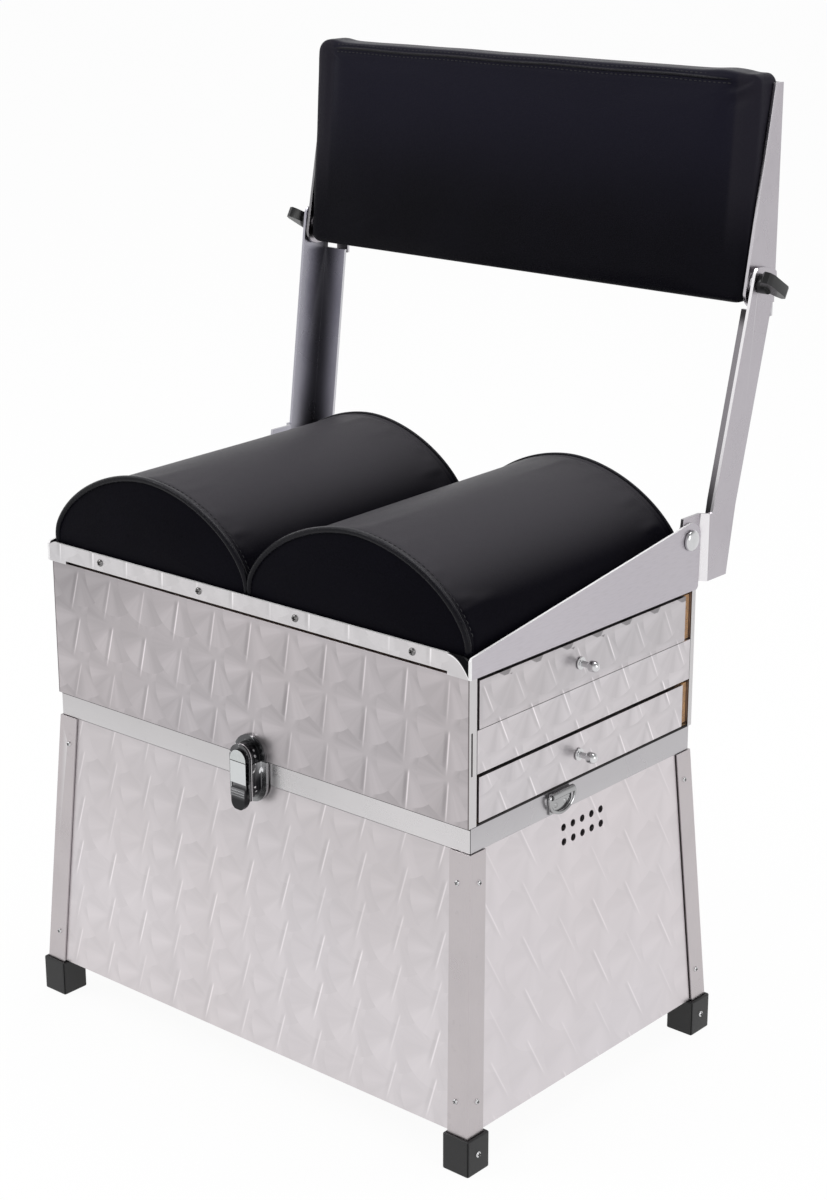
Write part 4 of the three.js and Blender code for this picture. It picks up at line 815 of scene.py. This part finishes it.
def bolster(sign, tag):
    """One bolster's cover with its welts and stitches; sign is 1 on the right, -1 on the left."""
    def face(y, share, bulge):
        """One ring of an end face, which bulges most in its middle."""
        lift = bulge * (1 - share ** 2.2)
        return [at(sign * (END_MIDDLE.x + (x - END_MIDDLE.x) * share), y + lift,
                   END_MIDDLE.z + (z - END_MIDDLE.z) * share) for x, z in bolster_ring(y, 4.0)]

    rings = [face(FRONT, share, -2.6) for share in END_SHARES]
    # rounded front edge and the sewn groove behind the welt, the length, then the same at the rear
    sections = [(FRONT + back, inset) for back, inset in (
        (0, 4.0), (0.35, 2.4), (1.2, 1.1), (2.4, 0.3), (4.0, 0.1),
        (6.2, 0.5), (7.4, 1.3), (8.6, 0.5), (11, 0.0))]
    first, last, steps = FRONT + 16, REAR - 12, 41
    sections += [(first + (last - first) * k / steps, 0.0) for k in range(steps + 1)]
    sections += [(REAR - back, inset) for back, inset in (
        (8.6, 0.3), (7.4, 1.1), (6.2, 0.5), (3.6, 0.1), (1.2, 1.1), (0.35, 2.4), (0, 4.0))]
    for y, inset in sections:
        rings.append([at(sign * x, y, z) for x, z in bolster_ring(y, inset)])
    rings += [face(REAR, share, 1.6) for share in END_SHARES[::-1]]
    if sign < 0:
        rings = [ring[::-1] for ring in rings]
    obj = ringed(f"seat_bolster_{tag}_cover", rings, vinyl_black)
    # small pulls in the cover: along the lower edge and towards the corners
    for vertex in obj.data.vertices:
        p = vertex.co
        y, z = p.y * 1000 + SHIFT, p.z * 1000
        low = max(0.0, 1 - (z - BASE) / 34)
        wave = ripple(p.x * 10, p.y * 34, p.z * 16 + sign * 7)
        broad = ripple(p.x * 7 + 3, p.y * 7, p.z * 7)
        inside = limited((y - FRONT - 10) / 20) * limited((REAR - 12 - y) / 20)
        out = Vector((p.x - sign * 0.108, 0, p.z - (BASE + 10) / 1000))
        if out.length > 0.01 and z > BASE + 3:
            vertex.co += out.normalized() * (0.0003 * wave * low + 0.0003 * broad) * inside
    count = len(rings[0])
    held = []
    for k, ring in enumerate(rings):
        y = ring[0].y * 1000 + SHIFT
        on_end = k < len(END_SHARES) - 1 or k > len(rings) - len(END_SHARES)
        seam = abs(y - FRONT) < 9 or abs(y - REAR) < 9
        firm = (0.35 if on_end else 1.0) if seam else 0.0
        for i, p in enumerate(ring):
            weight = 1.0 if p.z * 1000 < BASE + 5 else firm
            if weight:
                held.append((k * count + i, weight))
    swell(obj, held, limit=0.0008)
    soften(obj)
    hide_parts(f"seat_bolster_{tag}")
    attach(obj, "upper_case")

    # welts along both arches, and a row of stitches behind the front one
    for where, y, size in (("front", FRONT + 0.6, 2.7), ("rear", REAR - 0.9, 1.5)):
        arch = bolster_ring(y, 0.4)[:ARCH + 1]
        ends_low = [(arch[-1][0], BASE + SIDE_RISE - 12 * s / 3) for s in range(1, 4)]
        ends_high = [(arch[0][0], BASE + 3 + 12 * s / 3) for s in range(3)]
        path = []
        for x, z in ends_high + arch + ends_low:
            # drawn in towards the tray, and where the two bolsters meet
            low = max(0.0, 1 - (z - BASE) / 26)
            x += math.copysign(2.0, BOLSTER_MIDDLE - x) * low
            path.append(at(sign * x, y + 1.2 * low * (1 if y < 0 else -1), z))
        welt = tube(f"seat_bolster_{tag}_welt_{where}", path, size / 1000, vinyl_welt, taper=3)
        soften(welt)
        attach(welt, "upper_case")
    y = FRONT + 7.4
    arch = bolster_ring(y, 0.9)[3:ARCH - 2]
    path = [at(sign * x, y, z) for x, z in arch]
    mid = at(sign * BOLSTER_MIDDLE, y, BASE + 5)
    ups = [(p - mid).normalized() for p in path]
    row = stitches(f"seat_bolster_{tag}_stitches", path, ups, length=0.0032, pitch=0.0048)
    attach(row, "upper_case")


bolster(1, "right")
bolster(-1, "left")


# ---- backrest pad

# half the width, then the lower and upper ends with the middle between them
PAD_X = 226.9
PAD_LOW, PAD_HIGH = 603.0, 775.5
PAD_MIDDLE = (PAD_LOW + PAD_HIGH) / 2
# the back face, the thickness, how far the front leans back over the height, and the roundings of
# the front edge and of the corners
PAD_BACK, PAD_DEPTH, PAD_LEAN = 215.7, 38.2, 13.0
PAD_EDGE, PAD_CORNER = 6.0, 9.0
# points along the long and the short sides of its outline
ACROSS, UPRIGHT = 74, 30
# the board's distance from the outline, its thickness and the play round it
BOARD_INSET, BOARD_DEPTH, BOARD_PLAY = 18.0, 9.0, 0.3
# the side seams' distance from the middle
SEAM_X = 205


def pad_outline(inset):
    """Points round a rounded rectangle in the pad's plane, evenly enough for cloth."""
    half_x = PAD_X - inset
    low, high = PAD_LOW + inset, PAD_HIGH - inset
    r = max(PAD_CORNER - inset * 0.6, 2.0)
    points = []

    def run(a, b, steps):
        for s in range(steps):
            points.append((a[0] + (b[0] - a[0]) * s / steps, a[1] + (b[1] - a[1]) * s / steps))

    def bend(cx, cz, start):
        for s in range(6):
            t = math.radians(start + 90 * s / 6)
            points.append((cx + r * math.cos(t), cz + r * math.sin(t)))

    run((-half_x + r, low), (half_x - r, low), ACROSS)
    bend(half_x - r, low + r, -90)
    run((half_x, low + r), (half_x, high - r), UPRIGHT)
    bend(half_x - r, high - r, 0)
    run((half_x - r, high), (-half_x + r, high), ACROSS)
    bend(-half_x + r, high - r, 90)
    run((-half_x, high - r), (-half_x, low + r), UPRIGHT)
    bend(-half_x + r, low + r, 180)
    return points


def pad_point(x, z, forward):
    lean = PAD_LEAN * (z - PAD_LOW) / (PAD_HIGH - PAD_LOW) * forward / PAD_DEPTH
    return at(x, PAD_BACK - forward + lean, z)


def shrunk(outline, share, forward):
    """A smaller copy of an outline, this far in front of the pad's back."""
    return [pad_point(x * share, PAD_MIDDLE + (z - PAD_MIDDLE) * share, forward)
            for x, z in outline]


def fold(p, a, b, depth, width):
    """How far a crease from a to b, fading towards b, pulls a point in."""
    dx, dz = b[0] - a[0], b[1] - a[1]
    share = limited(((p[0] - a[0]) * dx + (p[1] - a[1]) * dz) / (dx * dx + dz * dz))
    far = math.hypot(p[0] - a[0] - dx * share, p[1] - a[1] - dz * share)
    return depth * (1 - share ** 2) * math.exp(-(far / width) ** 2)


# start, end, depth and width of each crease; a negative depth is a raised fold
PAD_FOLDS = (
    ((203, 765), (205, 645), 4.4, 3.4),
    ((-207, 768), (-210, 655), 2.6, 2.4),
    ((205, 753), (224, 761), 2.8, 2.8),
    ((203, 759.5), (226, 769), -1.9, 2.0),
    ((206, 764), (222, 772), 1.2, 1.8),
    ((-207, 764), (-222, 771), 1.6, 2.2),
    ((-205, 759), (-221, 752), 1.0, 2.2),
    ((191, 748), (195, 690), -1.0, 8.0),
    ((-197, 757), (-196, 700), -0.9, 7.0),
    ((216, 752), (215, 640), -0.9, 5.0),
)


def backrest_pad():
    sides = ((0, 3.0), (1.0, 1.2), (3.0, 0.2), (8.0, 0.0), (14.0, 0.0), (20.0, 0.0), (26.0, 0.0),
             (30.5, 0.0))
    # pocket in the back, in which the board lies
    pocket = pad_outline(BOARD_INSET - BOARD_PLAY)
    rings = [shrunk(pocket, share, BOARD_DEPTH + BOARD_PLAY) for share in (0.2, 0.5, 0.8, 1.0)]
    rings.append([pad_point(x, z, 0) for x, z in pocket])
    for forward, inset in sides:
        rings.append([pad_point(x, z, forward) for x, z in pad_outline(inset)])
    firm = len(rings)
    for angle in (15, 32, 50, 70, 90):
        turn = math.radians(angle)
        forward = PAD_DEPTH - PAD_EDGE + PAD_EDGE * math.sin(turn)
        inset = PAD_EDGE * (1 - math.cos(turn))
        rings.append([pad_point(x, z, forward) for x, z in pad_outline(inset)])
    outline = pad_outline(PAD_EDGE)
    for share in (0.985, 0.965, 0.94, 0.91, 0.87, 0.82, 0.75, 0.66, 0.56, 0.45, 0.33, 0.2, 0.08):
        rings.append(shrunk(outline, share, PAD_DEPTH + 2.2 * (1 - share ** 2)))
    obj = ringed("backrest_pad_cover", rings, vinyl_pad)

    for vertex in obj.data.vertices:
        x, y, z = vertex.co.x * 1000, vertex.co.y * 1000 + SHIFT, vertex.co.z * 1000
        lean = PAD_LEAN * (z - PAD_LOW) / (PAD_HIGH - PAD_LOW)
        forward = PAD_BACK - y + lean * 0.9
        front = limited((forward - PAD_DEPTH + 6) / 6)
        pull = sum(fold((x, z), *crease) for crease in PAD_FOLDS)
        strip_share = limited((abs(x) - SEAM_X) / 20) * limited((z - 625) / 70)
        pull += 3.2 * strip_share ** 1.2
        if abs(x) < SEAM_X:
            # sewn band under the top edge
            pull += 1.0 * math.exp(-((z - 767.4) / 1.1) ** 2)
            pull -= 0.7 * math.exp(-((z - 770.6) / 1.7) ** 2)
        soft = ripple(x * 0.012, z * 0.016, 3.1) * 0.8
        wave = ripple(x * 0.035, z * 0.035, 9.4) * 0.45
        wave *= 1 if abs(x) > 190 or z < 620 else 0.2
        vertex.co.y += (pull - 0.6 * (soft + wave)) * front / 1000
        top = limited((z - 764) / 8)
        if top > 0:
            ear = 2.0 * math.exp(-((x + 211) / 7.5) ** 2) + 1.3 * math.exp(-((x - 193) / 13) ** 2)
            ear -= 1.0 * math.exp(-((x - 214) / 5) ** 2)
            vertex.co.z += (ear + 0.5 * ripple(x * 0.02, 2.0, 1.0)) * top / 1000
        if abs(x) > 220:
            side = ripple(y * 0.05, z * 0.02, 5.0 if x > 0 else 12.0)
            vertex.co.x += -math.copysign(0.0014 * abs(side) * limited((forward - 2) / 10), x)
    count = len(rings[0])
    held = []
    for k, ring in enumerate(rings):
        for i in range(count):
            x, z = ring[i].x * 1000, ring[i].z * 1000
            weight = 1.0 if k < firm + 2 else 0.0
            if k >= firm and (z > 762 or abs(x) > 196):
                weight = 1.0
            if weight:
                held.append((k * count + i, weight))
    swell(obj, held, limit=0.0012)
    soften(obj)
    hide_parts("backrest_pad")
    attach(obj, "backrest")

    # two rows of stitches and the welt between them, under the top edge
    for row_name, z, forward, lift in (("upper", 773.3, PAD_DEPTH - 1.6, 0.9),
                                       ("lower", 767.4, PAD_DEPTH - 0.7, 0.2)):
        path, ups = [], []
        for s in range(97):
            x = -203 + 404 * s / 96
            path.append(pad_point(x, z + 0.3 * math.sin(x * 0.06), forward))
            ups.append(Vector((0, -1, lift)).normalized())
        row = stitches(f"backrest_pad_stitches_{row_name}", path, ups, length=0.0030, pitch=0.0044)
        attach(row, "backrest")
    path = [pad_point(-204 + 406 * s / 60, 770.4 + 0.3 * math.sin(s * 0.4), PAD_DEPTH - 0.5)
            for s in range(61)]
    welt = tube("backrest_pad_welt", path, 0.0013, vinyl_welt, taper=2)
    soften(welt)
    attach(welt, "backrest")


backrest_pad()


# ---- small fittings

def screw(name, place, outward, radius, dome, mat, body, turn):
    """A domed screw head, with a dark cross for its recess: painted shade."""
    outward = Vector(outward).normalized()
    side = outward.orthogonal().normalized()
    other = outward.cross(side)
    rings = []
    for r, h in ((1.0, -0.3), (1.0, 0.15), (0.9, 0.5), (0.68, 0.8), (0.4, 0.95), (0.15, 1.0)):
        rings.append([place + (side * math.cos(t) + other * math.sin(t)) * radius * r
                      + outward * dome * h for t in (2 * math.pi * k / 20 for k in range(20))])
    head = ringed(name, rings, mat)
    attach(head, body)
    points, faces = [], []
    for angle in (turn, turn + 90):
        t = math.radians(angle)
        along = side * math.cos(t) + other * math.sin(t)
        wide = outward.cross(along)
        start = len(points)
        for a, w in ((-1, -1), (1, -1), (1, 1), (-1, 1)):
            corner = place + along * a * radius * 0.62 + wide * w * radius * 0.15
            points += [corner + outward * dome * h for h in (0.55, 1.06)]
        q = [start + k for k in range(8)]
        faces += [(q[1], q[3], q[5], q[7]), (q[0], q[2], q[3], q[1]), (q[2], q[4], q[5], q[3]),
                  (q[4], q[6], q[7], q[5]), (q[6], q[0], q[1], q[7]), (q[0], q[6], q[4], q[2])]
    mark = mesh_object(name + "_recess", points, faces, recess, smooth=False)
    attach(mark, body)


screw_dark = polished("screw_steel", (0.22, 0.215, 0.215), 0.2)
screw_bright = polished("screw_bright", (0.62, 0.62, 0.63), 0.2)
for i, (x, turn) in enumerate(((-160, 15), (-48, 50), (54, 30), (169, 70))):
    screw(f"lip_screw_{i + 1}", at(x, -141.05, 394.0), (0, -1, 0), 0.0030, 0.0016, screw_dark,
          "upper_case", turn)


def flare(z):
    """Half the width and half the depth of the lower case at a height."""
    drop = (269.5 - z) / 239.7
    return 220 + 13.3 * drop, 136.5 + 17.5 * drop


for sx, hand in ((1, "right"), (-1, "left")):
    for sy, end in ((-1, "front"), (1, "rear")):
        screw(f"foot_screw_{end}_{hand}", at(sx * 236.3, sy * 145.0, 15.5), (sx, 0, 0),
              0.0026, 0.0012, screw_bright, "lower_case", 40)
        for level, z in (("top", 226.0), ("bottom", 56.5)):
            fx, fy = flare(z)
            for where, px, py, out in (("side", fx + 1.05, fy - 10.5, (sx, 0, 0)),
                                       ("face", fx - 12, fy + 1.05, (0, sy, 0))):
                place = at(sx * px, sy * py, z) - Vector(out) * 0.0006
                screw(f"rivet_cap_{end}_{hand}_{level}_{where}", place, out, 0.0021, 0.0009,
                      screw_bright, "lower_case", 25)


def strip(name, corners, out, thickness, mat, body):
    """A thin flat strip over four corners, raised outwards by its thickness."""
    out = Vector(out).normalized() * thickness
    base = [Vector(c) for c in corners]
    points = base + [p + out for p in base]
    faces = [(0, 1, 2, 3), (7, 6, 5, 4)]
    faces += [(k, k + 4, (k + 1) % 4 + 4, (k + 1) % 4) for k in range(4)]
    obj = mesh_object(name, points, faces, mat, smooth=False)
    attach(obj, body)


def panel_face(y, z):
    """A place on the lower right panel."""
    return at(flare(z)[0] - 1.8, y, z)


def joint_line(z):
    """The depth of the open joint beside the rear right corner angle."""
    return flare(z)[1] - 18.0


# painted shadow: a dark strip along the open joint beside the rear right corner angle
places = ((32, 1.1), (32, 0.2), (249, 0.2), (249, 1.0))
strip("rear_joint_line", [panel_face(joint_line(z) - off, z) for z, off in places],
      (1, 0, 0.055), 0.0002, gap_line, "lower_case")
# painted shade: a dark strip along the seam of the front sheet on the right end
strip("front_sheet_seam",
      [at(220.5, y, z) for y, z in ((-136.6, 310), (-135.2, 310), (-135.2, 343), (-136.6, 343))],
      (1, 0, 0), 0.00012, gap_line, "upper_case")


# painted light: a paler plywood on strips at the lit edge of the guide board, seen in the gaps
# behind the two drawers
lit_edge_ply = plywood("birch_plywood_lit_edge", (0.74, 0.40, 0.17))
for level, low, high in (("lower", 273.4, 306.8), ("upper", 343.9, 380.2)):
    strip(f"drawer_guide_edge_{level}",
          [at(212.6, y, z) for y, z in ((126.4, low), (133.5, low), (133.5, high), (126.4, high))],
          (1, 0, 0), 0.0055, lit_edge_ply, "upper_case")


# ---- floor, light and camera

def cleared(made):
    """The nodes of a new material or world, emptied."""
    made.use_nodes = True
    made.node_tree.nodes.clear()
    return Nodes(made.node_tree)


def floor():
    """A white floor that looks evenly lit to the camera."""
    made = bpy.data.materials.new("floor_white")
    n = cleared(made)
    path = n.add("LightPath")
    seen = n.most(path.outputs["Is Camera Ray"], path.outputs["Is Glossy Ray"])
    seen = n.most(seen, path.outputs["Is Transmission Ray"])
    matt = n.add("BsdfDiffuse")
    n.put(matt.inputs["Color"], (0.96, 0.96, 0.96, 1))
    glow = n.add("Emission")
    n.put(glow.inputs["Color"], (1, 1, 1, 1))
    blend = n.add("MixShader")
    n.put(blend.inputs[0], n.times(seen, 0.95))
    n.put(blend.inputs[1], matt.outputs[0])
    n.put(blend.inputs[2], glow.outputs[0])
    out = n.add("OutputMaterial")
    n.put(out.inputs[0], blend.outputs[0])
    size, steps = 14.0, 8
    points = [(-size + 2 * size * i / steps, -size + 2 * size * j / steps, 0)
              for i in range(steps + 1) for j in range(steps + 1)]
    corners = [i * (steps + 1) + j for i in range(steps) for j in range(steps)]
    faces = [(a, a + steps + 1, a + steps + 2, a + 1) for a in corners]
    obj = mesh_object("floor", points, faces, made)


floor()

world = bpy.data.worlds.new("studio")
scene.world = world
wn = cleared(world)
path = wn.add("LightPath")
seen = wn.most(path.outputs["Is Camera Ray"], path.outputs["Is Transmission Ray"])
split = wn.add("SeparateXYZ")
wn.put(split.inputs[0], wn.add("TexCoord").outputs["Generated"])
height = wn.ramp(split.outputs[2], 0.1, 0.75, 1.0, 0.42)
strength = wn.mix(seen, wn.mix(path.outputs["Is Glossy Ray"], 0.62, height), 1.0)
back = wn.add("Background")
wn.put(back.inputs["Color"], (1, 1, 1, 1))
wn.put(back.inputs["Strength"], strength)
out = wn.add("OutputWorld")
wn.put(out.inputs[0], back.outputs[0])


def lamp(name, place, target, size, power):
    data = bpy.data.lights.new(name, "AREA")
    data.shape = "RECTANGLE"
    data.size, data.size_y = size
    data.energy = power
    obj = bpy.data.objects.new(name, data)
    scene.collection.objects.link(obj)
    obj.location = place
    direction = Vector(target) - Vector(place)
    obj.rotation_euler = direction.to_track_quat("-Z", "Y").to_euler()


lamp("key", (-1.9, -2.0, 2.6), (0, 0, 0.35), (1.6, 1.2), 34)
lamp("right", (2.9, -0.4, 1.5), (0, 0, 0.35), (1.2, 1.6), 18)
lamp("top", (0.1, 0.6, 2.9), (0, 0, 0.4), (1.6, 1.0), 22)

camera_data = bpy.data.cameras.new("camera")
camera_data.lens = 71.95
camera_data.sensor_width = 36
camera_data.clip_start = 0.05
camera = bpy.data.objects.new("camera", camera_data)
scene.collection.objects.link(camera)
az, el, roll = math.radians(40.92), math.radians(18.05), math.radians(-0.12)
back_axis = Vector((math.sin(az) * math.cos(el), -math.cos(az) * math.cos(el), math.sin(el)))
right_axis = Vector((math.cos(az), math.sin(az), 0))
up_axis = back_axis.cross(right_axis)
cam_x = right_axis * math.cos(roll) + up_axis * math.sin(roll)
cam_y = -right_axis * math.sin(roll) + up_axis * math.cos(roll)
turn = Matrix((cam_x, cam_y, back_axis)).transposed().to_4x4()
camera.matrix_world = Matrix.Translation(at(1224.9, -1357.5, 957.6)) @ turn
scene.camera = camera
scene.view_settings.view_transform = "Standard"
